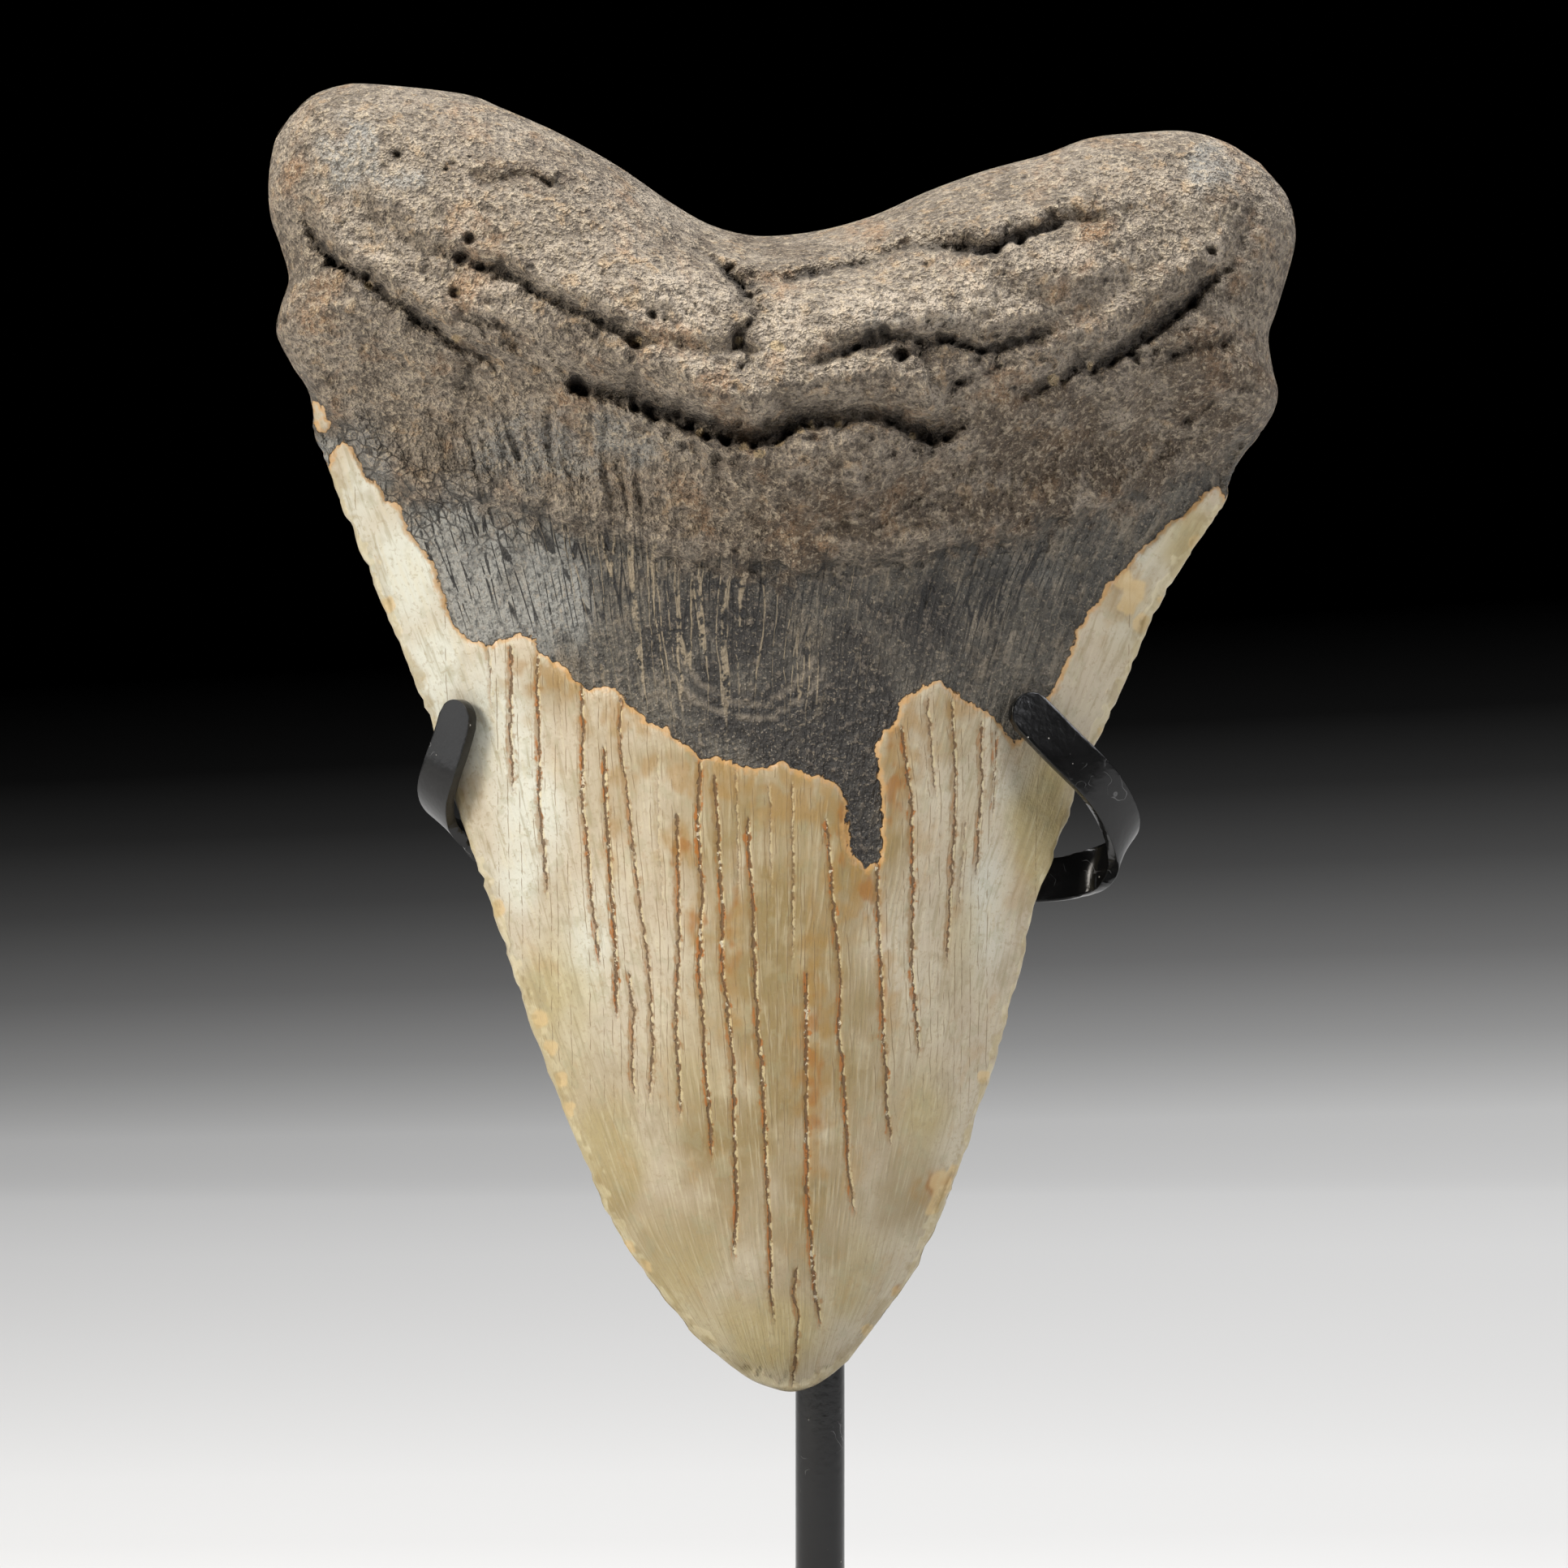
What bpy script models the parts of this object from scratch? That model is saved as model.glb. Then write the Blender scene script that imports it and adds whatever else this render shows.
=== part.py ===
# A fossil tooth of a giant shark, standing point down in a plain black metal holder.
#
# The tooth is one solid: a blade with sharp edges below, and a thick root with two lobes above.
# It hangs like a wedge between two flat arms, which hook round the edges of its blade. The arms
# are fixed to the front of an upright rod, and the rod stands in the middle of a square base.
#
# Units are metres, +Z is up, and the thick side of the root faces -Y. The origin is the centre of
# the base's underside, and the rod's axis is the Z axis.
import math

import bmesh
import bpy
import numpy as np
from mathutils import Vector, noise

MM = 0.001

# Driving dimensions
SLANT_HEIGHT = 152.4 * MM
TIP_HEIGHT = 57.0 * MM
BASE_SIDE = 80.0 * MM
BASE_THICKNESS = 12.0 * MM
BASE_CHAMFER = 0.8 * MM
ROD_DIAMETER = 5.5 * MM
ROD_SIDES = 24
ARM_WIDTH = 4.8 * MM
ARM_THICKNESS = 1.2 * MM
ARM_CHAMFER = 0.25 * MM
ARM_STATIONS = 40
GAP = 0.3 * MM

# The tooth's lines are drawn on a sheet of small squares, x to the right and y down. Its scale
# comes from the slant height, which is measured from the tip to the top of the taller lobe.
SHEET_TIP = (975, 1718)
SHEET_LOBE_TOP = (430, 105)
SHEET_ROD_X = 1011
SQUARE = SLANT_HEIGHT / math.dist(SHEET_TIP, SHEET_LOBE_TOP)

# The four sides of the tooth's outline: the blunt tip, the left and right sides up from it, and
# the top of the root with its notch
TIP_ARC = [(900, 1686), (925, 1703), (950, 1713), (975, 1718), (1000, 1712), (1022, 1699), (1045, 1680)]
LEFT_SIDE = [
    (900, 1686), (848, 1641), (793, 1570), (748, 1500), (712, 1415), (661, 1290), (614, 1150),
    (564, 1003), (536, 910), (492, 800), (448, 695), (419, 625), (402, 575), (384, 530),
    (380, 484), (360, 450), (342, 412), (346, 382), (357, 346), (347, 305), (335, 270),
    (332, 225), (340, 175), (358, 146),
]
RIGHT_SIDE = [
    (1045, 1680), (1076, 1640), (1128, 1570), (1160, 1500), (1188, 1430), (1223, 1325),
    (1262, 1185), (1277, 1112), (1306, 1044), (1340, 945), (1369, 883), (1406, 800), (1439, 730),
    (1482, 662), (1512, 617), (1522, 580), (1562, 522), (1574, 488), (1567, 455), (1562, 415),
    (1573, 380), (1593, 310), (1594, 275), (1583, 240), (1552, 203),
]
ROOT_TOP = [
    (358, 146), (385, 120), (420, 107), (460, 105), (570, 117), (620, 135), (690, 166), (760, 205),
    (830, 253), (880, 280), (935, 292), (1005, 286), (1075, 267), (1145, 236), (1215, 211),
    (1285, 192), (1340, 172), (1400, 165), (1460, 163), (1510, 177), (1552, 203),
]

# The grid of the tooth: squares across and up on the front, and half as many each way at the back
ACROSS = 60
UP = 52
AROUND_CELL = [(0, 0), (1, 0), (2, 0), (2, 1), (2, 2), (1, 2), (0, 2), (0, 1)]

# Depths of the tooth along Y. The ring is where the front and the back surface meet: it is the
# sharp edge of the blade, and the middle of the rounded rim of the root.
BLADE_RING_Y = -7.0 * MM
ROOT_RING_Y = -11.2 * MM
BLADE_RIM = 0.5 * MM
ROOT_RIM = 6.2 * MM
BLADE_RIM_REACH = 0.9 * MM
ROOT_RIM_REACH = 8.5 * MM
BACK_SWELL = 1.5 * MM
ROOT_START = 0.735
ROOT_FULL = 0.835

# How far the front stands out in the middle, from the tip (0) to the top of the root (1)
HEIGHT_STATIONS = [0.0, 0.03, 0.1, 0.2, 0.35, 0.5, 0.62, 0.72, 0.78, 0.82, 0.87, 0.91, 0.95, 0.98, 1.0]
FRONT_SWELL = [0.0, 2.9, 6.6, 9.7, 12.8, 14.7, 15.8, 16.6, 16.4, 15.6, 16.4, 15.6, 10.8, 4.8, 0.0]
BLADE_ROUNDNESS = 2.0
ROOT_ROUNDNESS = 1.75
SWELL_POWER = 0.9

# Upper limit of the enamel on the front: it lies a little proud of the dark band above it
ENAMEL_TOP = [
    (380, 582), (412, 549), (424, 546), (452, 585), (478, 618), (500, 642), (530, 692), (553, 748),
    (574, 784), (603, 797), (645, 783), (670, 808), (700, 822), (725, 848), (762, 851), (797, 886),
    (868, 935), (930, 948), (960, 937), (1022, 965), (1046, 1045), (1064, 1068), (1083, 1040),
    (1074, 915), (1107, 884), (1122, 854), (1156, 840), (1210, 873), (1247, 918), (1285, 862),
    (1318, 796), (1350, 740), (1402, 680), (1458, 634), (1494, 598), (1530, 612),
]
ENAMEL_STEP = 0.55 * MM
ENAMEL_SLOPE = 2.0 * MM

# The top of the dark band under the root, a low step that runs from side to side
BAND_TOP = [
    (390, 485), (430, 540), (470, 590), (520, 618), (612, 619), (679, 637), (746, 654), (791, 677),
    (900, 695), (1000, 700), (1100, 690), (1250, 660), (1400, 612), (1500, 560), (1560, 520),
]
BAND_STEP = 0.7 * MM
BAND_SLOPE = 2.2 * MM

# Fissures in the root, each with its width, its depth and the height of the rolled lip above it,
# in millimetres
FISSURES = [
    ("left long", 2.4, 2.6, 1.0,
     [(367, 225), (391, 294), (416, 323), (463, 366), (523, 408), (550, 426), (608, 455)]),
    ("main ledge", 3.2, 5.4, 1.8,
     [(706, 482), (773, 502), (850, 534), (880, 546), (953, 548), (1044, 527), (1130, 548), (1187, 526)]),
    ("left middle", 2.3, 2.2, 0.8,
     [(465, 279), (523, 325), (577, 330), (639, 355), (684, 381), (773, 426), (827, 436), (907, 437)]),
    ("right middle", 2.3, 2.2, 0.8,
     [(972, 481), (1043, 447), (1115, 447), (1187, 434), (1206, 443), (1307, 419)]),
    ("right top", 2.4, 2.2, 0.8,
     [(900, 359), (962, 366), (1044, 347), (1091, 318), (1168, 316), (1283, 290), (1398, 282), (1431, 261)]),
    ("right long", 2.4, 2.7, 1.0,
     [(1556, 237), (1527, 299), (1508, 342), (1431, 400), (1383, 431), (1340, 467), (1266, 493)]),
    ("right branch", 2.2, 1.2, 0.4, [(1388, 443), (1464, 440), (1512, 421)]),
    ("left top", 2.2, 0.8, 0.3, [(554, 218), (604, 236), (657, 232), (729, 252)]),
    ("middle cleft", 2.4, 1.8, 0.2, [(851, 319), (903, 364), (925, 390), (918, 471)]),
]
LIP_OFFSET = 1.4
LIP_SPREAD = 1.2
SUNK_SHARE = 0.6
TAPER_SHARE = 0.14

# Pits in the root: place on the sheet and depth in millimetres
PITS = [
    (499, 204, 0.9), (588, 310, 1.3), (575, 375, 1.2), (791, 433, 1.7), (810, 405, 1.3),
    (910, 437, 1.4), (960, 445, 1.2), (1106, 454, 1.7), (1085, 430, 1.6), (1483, 320, 1.1),
]

# Broad lumps and hollows: place on the sheet, half width and half height on the sheet, and how
# far they stand out in millimetres (a hollow has a minus sign)
LUMPS = [
    (1020, 628, 175, 62, 2.0), (820, 372, 130, 42, 1.2), (1090, 392, 160, 34, 1.1),
    (1280, 352, 170, 32, 0.9), (470, 180, 90, 55, 0.8), (1470, 225, 80, 45, 0.8),
    (470, 470, 90, 55, 0.7), (1335, 512, 22, 45, -1.0), (1412, 496, 22, 45, -1.0),
    (1372, 505, 18, 45, 0.6), (640, 470, 100, 40, -0.7), (700, 560, 150, 45, -0.5),
    (1300, 560, 120, 40, 0.6),
]

# Chips out of the blade's edges: place on the sheet, radius on the sheet and depth in millimetres
CHIPS = [
    (474, 741, 16, 1.0), (1392, 732, 36, 0.7), (1160, 1462, 26, 0.8), (1150, 1494, 16, 0.6),
    (1107, 1592, 14, 0.6), (772, 1539, 14, 0.6), (1070, 1640, 14, 0.6), (690, 1330, 22, 0.5),
]

# Fine unevenness of the root and of the blade
ROOT_ROUGHNESS = 0.28 * MM
BLADE_ROUGHNESS = 0.07 * MM
ROUGHNESS_SPACING = 5.0 * MM
FRONT_LAYER = 3.0
BACK_LAYER = 9.0

ROD_HEAD_SHEET_Y = 1052

# Middle lines of the arms, from the rod to the rounded front end: place on the sheet and depth
# along Y in millimetres, and the direction of the bar's width at each point
RIGHT_ARM = [
    ((1014, 1088, -3.7), (0.0, 0.0, 1.0)),
    ((1130, 1088, -3.7), (0.0, 0.0, 1.0)),
    ((1284, 1086, -3.7), (0.0, 0.0, 1.0)),
    ((1337, 1078, -4.0), (0.05, 0.0, 1.0)),
    ((1367, 1066, -5.2), (0.25, 0.0, 0.97)),
    ((1389, 1045, -7.6), (0.5, 0.0, 0.86)),
    ((1386, 1017, -10.6), (0.6, 0.1, 0.78)),
    ((1352, 966, -13.7), (0.62, 0.28, 0.73)),
    ((1304, 918, -15.3), (0.62, 0.3, 0.72)),
    ((1249, 862, -16.5), (0.62, 0.3, 0.72)),
]
LEFT_ARM = [
    ((1008, 1088, -3.7), (0.0, 0.0, 1.0)),
    ((850, 1078, -3.7), (0.0, 0.0, 1.0)),
    ((700, 1060, -3.7), (0.0, 0.0, 1.0)),
    ((600, 1043, -3.7), (0.0, 0.0, 1.0)),
    ((567, 1028, -4.2), (0.0, 0.0, 1.0)),
    ((541, 1006, -6.0), (-0.2, 0.1, 0.95)),
    ((536, 980, -8.6), (-0.42, 0.4, 0.8)),
    ((545, 948, -10.5), (-0.66, 0.55, 0.45)),
    ((558, 912, -11.7), (-0.72, 0.62, 0.3)),
    ((572, 864, -12.9), (-0.72, 0.66, 0.2)),
]


def clear_scene():
    """Remove every object that the file holds."""
    for thing in list(bpy.data.objects):
        bpy.data.objects.remove(thing, do_unlink=True)


def paint(name, colour, roughness, metallic):
    """Make a material of one colour."""
    material = bpy.data.materials.new(name)
    material.use_nodes = True
    shader = material.node_tree.nodes["Principled BSDF"]
    shader.inputs["Base Color"].default_value = (*colour, 1.0)
    shader.inputs["Roughness"].default_value = roughness
    shader.inputs["Metallic"].default_value = metallic
    return material


def place(name, bm, material):
    """Turn a bmesh into a named object with its faces pointing out."""
    bmesh.ops.recalc_face_normals(bm, faces=bm.faces)
    mesh = bpy.data.meshes.new(name)
    bm.to_mesh(mesh)
    bm.free()
    mesh.materials.append(material)
    thing = bpy.data.objects.new(name, mesh)
    bpy.context.collection.objects.link(thing)
    return thing


def on_sheet(points):
    """Turn places on the sheet into (x, z) in metres."""
    points = np.asarray(points, dtype=float)
    x = (points[:, 0] - SHEET_ROD_X) * SQUARE
    z = TIP_HEIGHT + (SHEET_TIP[1] - points[:, 1]) * SQUARE
    return np.stack((x, z), axis=1)


def smooth_line(points, shares):
    """Read a smooth curve through the points at the given shares of its length."""
    points = np.asarray(points, dtype=float)
    ends = np.vstack((2 * points[0] - points[1], points, 2 * points[-1] - points[-2]))
    t = np.linspace(0.0, 1.0, 16, endpoint=False)[:, None]
    runs = []
    for a, b, c, d in zip(ends, ends[1:], ends[2:], ends[3:]):
        square = (2 * a - 5 * b + 4 * c - d) * t ** 2
        cube = (3 * b - a - 3 * c + d) * t ** 3
        runs.append(0.5 * (2 * b + (c - a) * t + square + cube))
    line = np.vstack(runs + [points[-1:]])
    length = np.concatenate(([0.0], np.cumsum(np.linalg.norm(np.diff(line, axis=0), axis=1))))
    columns = [np.interp(shares * length[-1], length, column) for column in line.T]
    return np.stack(columns, axis=1)


def smooth_steps(value, start, end):
    """Ease from 0 at start to 1 at end."""
    t = np.clip((value - start) / (end - start), 0.0, 1.0)
    return t * t * (3.0 - 2.0 * t)


def through(value, stations, heights):
    """Read a smooth curve that passes through the heights at the stations."""
    stations = np.asarray(stations)
    heights = np.asarray(heights)
    slopes = np.gradient(heights, stations)
    i = np.clip(np.searchsorted(stations, value) - 1, 0, len(stations) - 2)
    step = stations[i + 1] - stations[i]
    t = np.clip((value - stations[i]) / step, 0.0, 1.0)
    rise = (3 - 2 * t) * t * t
    lead = t * (1 - t) ** 2 * step * slopes[i]
    trail = t * t * (t - 1) * step * slopes[i + 1]
    return heights[i] + (heights[i + 1] - heights[i]) * rise + lead + trail


def spread(count, density):
    """Divide 0 to 1 into count steps that are closer where the density is higher."""
    fine = np.linspace(0.0, 1.0, 2001)
    total = np.concatenate(([0.0], np.cumsum(0.5 * (density(fine)[1:] + density(fine)[:-1]))))
    return np.interp(np.linspace(0.0, total[-1], count + 1), total, fine)


def rim_density(share):
    """More lines of the grid near both rims."""
    return 1.0 + 3.0 * np.exp(-share / 0.025) + 3.0 * np.exp((share - 1.0) / 0.025)


def row_density(share):
    """More rows in the root, whose relief is finer than the blade's."""
    return rim_density(share) + 2.2 * smooth_steps(share, 0.66, 0.76)


def offset_from(line, x, z):
    """Signed distance from a line (above it is plus), and how far along it the nearest point is."""
    line = on_sheet(line)
    start = line[:-1]
    step = line[1:] - line[:-1]
    length = np.linalg.norm(step, axis=1)
    before = np.concatenate(([0.0], np.cumsum(length)[:-1]))
    best = np.full(x.shape, np.inf)
    side = np.zeros(x.shape)
    along = np.zeros(x.shape)
    for a, d, size, run in zip(start, step, length, before):
        t = np.clip(((x - a[0]) * d[0] + (z - a[1]) * d[1]) / size ** 2, 0.0, 1.0)
        away_x = x - a[0] - t * d[0]
        away_z = z - a[1] - t * d[1]
        away = np.hypot(away_x, away_z)
        turn = np.sign(d[0] * away_z - d[1] * away_x)
        nearer = away < best
        best = np.where(nearer, away, best)
        side = np.where(nearer, away * turn, side)
        along = np.where(nearer, (run + t * size) / length.sum(), along)
    return side, along


def left_to_right(line):
    """Turn a line so that it runs towards the right, with the root above it."""
    return line if line[0][0] <= line[-1][0] else line[::-1]


def height_over(line, x, z):
    """Signed distance from a line that runs from rim to rim: minus is below it."""
    distance, _ = offset_from(line, x, z)
    places = on_sheet(line)
    crossings = np.zeros(x.shape, dtype=int)
    for a, b in zip(places, places[1:]):
        low, high = sorted((a[0], b[0]))
        if low < high:
            level = a[1] + (x - a[0]) * (b[1] - a[1]) / (b[0] - a[0])
            crossings += (x >= low) & (x < high) & (level > z)
    return np.where(crossings % 2 == 1, -np.abs(distance), np.abs(distance))


def coons(across, up):
    """Fill the four sides of the outline with a grid of (x, z) places."""
    tip = smooth_line(on_sheet(TIP_ARC), across)
    top = smooth_line(on_sheet(ROOT_TOP), across)
    left = smooth_line(on_sheet(LEFT_SIDE), up)
    right = smooth_line(on_sheet(RIGHT_SIDE), up)
    u = across[None, :, None]
    v = up[:, None, None]
    between = (1 - v) * tip[None] + v * top[None] + (1 - u) * left[:, None] + u * right[:, None]
    low = (1 - u) * tip[0] + u * tip[-1]
    high = (1 - u) * top[0] + u * top[-1]
    return between - (1 - v) * low - v * high


def rim_distance(x, z):
    """Distance of each place from the outline of the tooth."""
    nearest = np.full(x.shape, np.inf)
    for line in (TIP_ARC, LEFT_SIDE, RIGHT_SIDE, ROOT_TOP):
        side, _ = offset_from(line, x, z)
        nearest = np.minimum(nearest, np.abs(side))
    return nearest


def quarter_round(distance, reach):
    """Rise of a rounded rim, from 0 at the rim to 1 at its reach."""
    t = 1.0 - np.clip(distance / reach, 0.0, 1.0)
    return np.sqrt(1.0 - t * t)


def roughness(x, z, layer):
    """Smooth random unevenness between -1 and 1."""
    values = np.empty(x.size)
    for i, (a, b) in enumerate(zip(x.ravel() / ROUGHNESS_SPACING, z.ravel() / ROUGHNESS_SPACING)):
        values[i] = noise.fractal(Vector((a, b, layer)), 1.0, 2.0, 3)
    return values.reshape(x.shape)


def body_depths(x, z, u, v):
    """The plain form of the tooth: Y of its ring, of its front and of its back."""
    rooted = smooth_steps(v, ROOT_START, ROOT_FULL)
    ring = BLADE_RING_Y + (ROOT_RING_Y - BLADE_RING_Y) * rooted
    rim = BLADE_RIM + (ROOT_RIM - BLADE_RIM) * rooted
    reach = BLADE_RIM_REACH + (ROOT_RIM_REACH - BLADE_RIM_REACH) * rooted
    rounding = rim * quarter_round(rim_distance(x, z), reach)
    sideways = np.abs(2.0 * u - 1.0)
    roundness = BLADE_ROUNDNESS + (ROOT_ROUNDNESS - BLADE_ROUNDNESS) * rooted
    swell = np.clip(1.0 - sideways ** roundness, 0.0, 1.0) ** SWELL_POWER
    front = ring - rounding - through(v, HEIGHT_STATIONS, FRONT_SWELL) * MM * swell
    fall = (1.0 - rooted) * (1.0 - sideways ** 2) * smooth_steps(v, 0.0, 0.2)
    back = ring + rounding + BACK_SWELL * fall
    return ring, front, back


def root_relief(x, z):
    """How far the fissures, their rolled lips and the lumps move the front inwards."""
    inwards = np.zeros(x.shape)
    for _, width, depth, lip, line in FISSURES:
        side, along = offset_from(left_to_right(line), x, z)
        side = side / (width * MM)
        taper = np.sin(0.5 * math.pi * np.clip(np.minimum(along, 1 - along) / TAPER_SHARE, 0, 1))
        cut = depth * np.exp(-4.0 * side ** 2)
        roll = lip * np.exp(-((side - LIP_OFFSET) / LIP_SPREAD) ** 2)
        sunk = SUNK_SHARE * lip * np.exp(-((side + LIP_OFFSET) / LIP_SPREAD) ** 2)
        inwards += taper * (cut - roll + sunk) * MM
    for sheet_x, sheet_y, half_width, half_height, height in LUMPS:
        centre = on_sheet([(sheet_x, sheet_y)])[0]
        across = (x - centre[0]) / (half_width * SQUARE)
        upward = (z - centre[1]) / (half_height * SQUARE)
        inwards -= height * MM * np.exp(-across ** 2 - upward ** 2)
    return inwards


def blade_relief(x, z):
    """How far the steps at the band and the enamel, and the chips, move the front inwards."""
    inwards = BAND_STEP * smooth_steps(-height_over(BAND_TOP, x, z), 0.0, BAND_SLOPE)
    inwards -= ENAMEL_STEP * smooth_steps(-height_over(ENAMEL_TOP, x, z), 0.0, ENAMEL_SLOPE)
    for sheet_x, sheet_y, radius, depth in CHIPS:
        centre = on_sheet([(sheet_x, sheet_y)])[0]
        away = np.hypot(x - centre[0], z - centre[1]) / (radius * SQUARE)
        inwards += depth * MM * smooth_steps(-away, -1.3, -0.5)
    return inwards


def front_depths(x, z, u, v):
    """Y of the finished front surface."""
    ring, front, _ = body_depths(x, z, u, v)
    rooted = smooth_steps(v, ROOT_START, ROOT_FULL)
    inner = smooth_steps(rim_distance(x, z), 0.0, 2.0 * MM)
    relief = root_relief(x, z) + blade_relief(x, z)
    uneven = BLADE_ROUGHNESS + (ROOT_ROUGHNESS - BLADE_ROUGHNESS) * rooted
    relief = relief + uneven * roughness(x, z, FRONT_LAYER)
    thickness = ring - front
    return front + inner * np.minimum(relief, 0.6 * thickness)


def press_pits(x, z, y):
    """Move the grid's nearest point onto each pit and push it in."""
    for sheet_x, sheet_y, depth in PITS:
        centre = on_sheet([(sheet_x, sheet_y)])[0]
        away = np.hypot(x - centre[0], z - centre[1])
        row, column = np.unravel_index(np.argmin(away), away.shape)
        x[row, column] = centre[0]
        z[row, column] = centre[1]
        y[row, column] += depth * MM


def tooth_mesh():
    """Build the tooth from a fine front grid and a coarser back grid that share the ring."""
    across = spread(ACROSS, rim_density)
    up = spread(UP, row_density)
    places = coons(across, up)
    x = places[..., 0]
    z = places[..., 1]
    u = np.broadcast_to(across[None, :], x.shape)
    v = np.broadcast_to(up[:, None], x.shape)
    ring, _, back = body_depths(x, z, u, v)
    front = front_depths(x, z, u, v)
    for edge in (np.s_[0, :], np.s_[-1, :], np.s_[:, 0], np.s_[:, -1]):
        front[edge] = ring[edge]
    press_pits(x, z, front)
    back = back + BLADE_ROUGHNESS * roughness(x, z, BACK_LAYER)

    bm = bmesh.new()
    face = [[bm.verts.new(point) for point in zip(*row)] for row in zip(x, front, z)]
    for i in range(UP):
        for j in range(ACROSS):
            bm.faces.new((face[i][j], face[i][j + 1], face[i + 1][j + 1], face[i + 1][j]))

    behind = {}

    def rear(i, j):
        """The back grid's point, which on the rim is the front grid's point."""
        if i in (0, UP) or j in (0, ACROSS):
            return face[i][j]
        if (i, j) not in behind:
            behind[i, j] = bm.verts.new((x[i, j], back[i, j], z[i, j]))
        return behind[i, j]

    for i in range(0, UP, 2):
        for j in range(0, ACROSS, 2):
            cell = [(i + a, j + b) for a, b in AROUND_CELL]
            kept = [(a, b) for a, b in cell if a % 2 == b % 2 == 0 or a in (0, UP) or b in (0, ACROSS)]
            bm.faces.new([rear(a, b) for a, b in kept])
    bmesh.ops.triangulate(bm, faces=bm.faces)
    return bm


def arm_mesh(route):
    """Build a flat bar along a route, with chamfered edges and a half-round front end."""
    points = [(*on_sheet([(x, y)])[0], depth * MM) for (x, y, depth), _ in route]
    shares = spread(ARM_STATIONS, lambda share: 1.0 + 14.0 * smooth_steps(share, 0.93, 0.97))
    line = smooth_line([(x, y, z) for x, z, y in points], shares)
    widths = smooth_line([width for _, width in route], shares)
    heading = np.gradient(line, axis=0)
    heading /= np.linalg.norm(heading, axis=1)[:, None]
    widths -= heading * np.sum(widths * heading, axis=1)[:, None]
    widths /= np.linalg.norm(widths, axis=1)[:, None]
    normals = np.cross(heading, widths)
    to_end = np.linalg.norm(line - line[-1], axis=1)
    radius = 0.5 * ARM_WIDTH
    short = np.clip(radius - to_end, 0.0, radius)
    half_widths = np.sqrt(np.maximum(radius ** 2 - short ** 2, (0.12 * radius) ** 2))

    bm = bmesh.new()
    rings = []
    for middle, width, normal, half in zip(line, widths, normals, half_widths):
        chamfer = min(ARM_CHAMFER, 0.5 * half)
        thick = 0.5 * ARM_THICKNESS
        profile = [(half - chamfer, thick), (half, thick - chamfer)]
        profile += [(a, -b) for a, b in reversed(profile)]
        profile += [(-a, -b) for a, b in profile]
        rings.append([bm.verts.new(middle + width * a + normal * b) for a, b in profile])
    for one, other in zip(rings, rings[1:]):
        for k in range(len(one)):
            after = (k + 1) % len(one)
            bm.faces.new((one[k], one[after], other[after], other[k]))
    bm.faces.new(rings[0])
    bm.faces.new(rings[-1])
    bmesh.ops.triangulate(bm, faces=bm.faces)
    return bm


def rod_mesh():
    """Build the upright rod, which ends just above the arms that are fixed to its front."""
    foot = BASE_THICKNESS + GAP
    head = on_sheet([(SHEET_ROD_X, ROD_HEAD_SHEET_Y)])[0][1]
    bm = bmesh.new()
    bmesh.ops.create_cone(
        bm, cap_ends=True, segments=ROD_SIDES, radius1=0.5 * ROD_DIAMETER,
        radius2=0.5 * ROD_DIAMETER, depth=head - foot)
    bmesh.ops.translate(bm, verts=bm.verts, vec=(0.0, 0.0, 0.5 * (head + foot)))
    rims = [edge for edge in bm.edges if abs(edge.verts[0].co.z - edge.verts[1].co.z) < 0.1 * MM]
    bmesh.ops.bevel(bm, geom=rims, offset=ARM_CHAMFER, segments=1, affect="EDGES")
    return bm


def base_mesh():
    """Build the square base with chamfered edges."""
    bm = bmesh.new()
    bmesh.ops.create_cube(bm, size=1.0)
    bmesh.ops.scale(bm, verts=bm.verts, vec=(BASE_SIDE, BASE_SIDE, BASE_THICKNESS))
    bmesh.ops.translate(bm, verts=bm.verts, vec=(0.0, 0.0, 0.5 * BASE_THICKNESS))
    bmesh.ops.bevel(
        bm, geom=list(bm.edges), offset=BASE_CHAMFER, segments=2, profile=0.5, affect="EDGES")
    return bm


def main():
    clear_scene()
    fossil = paint("fossil", (0.33, 0.28, 0.2), 0.6, 0.0)
    black = paint("black paint", (0.012, 0.012, 0.013), 0.35, 0.0)
    place("tooth", tooth_mesh(), fossil)
    place("left_arm", arm_mesh(LEFT_ARM), black)
    place("right_arm", arm_mesh(RIGHT_ARM), black)
    place("rod", rod_mesh(), black)
    place("base", base_mesh(), black)


main()
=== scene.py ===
# %% [markdown]
# # A fossil shark tooth on its stand
#
# The object is one large fossil tooth, held point down by a plain black stand. The solids of the
# CAD model are loaded first, as a fixed frame that gives every size and place. The rest of this
# file dresses them: a fine tooth with its fissures, cracks and colours, and a smooth stand.

# %% Load the frame
import math

import bpy
import numpy as np
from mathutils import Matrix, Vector, noise


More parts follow.
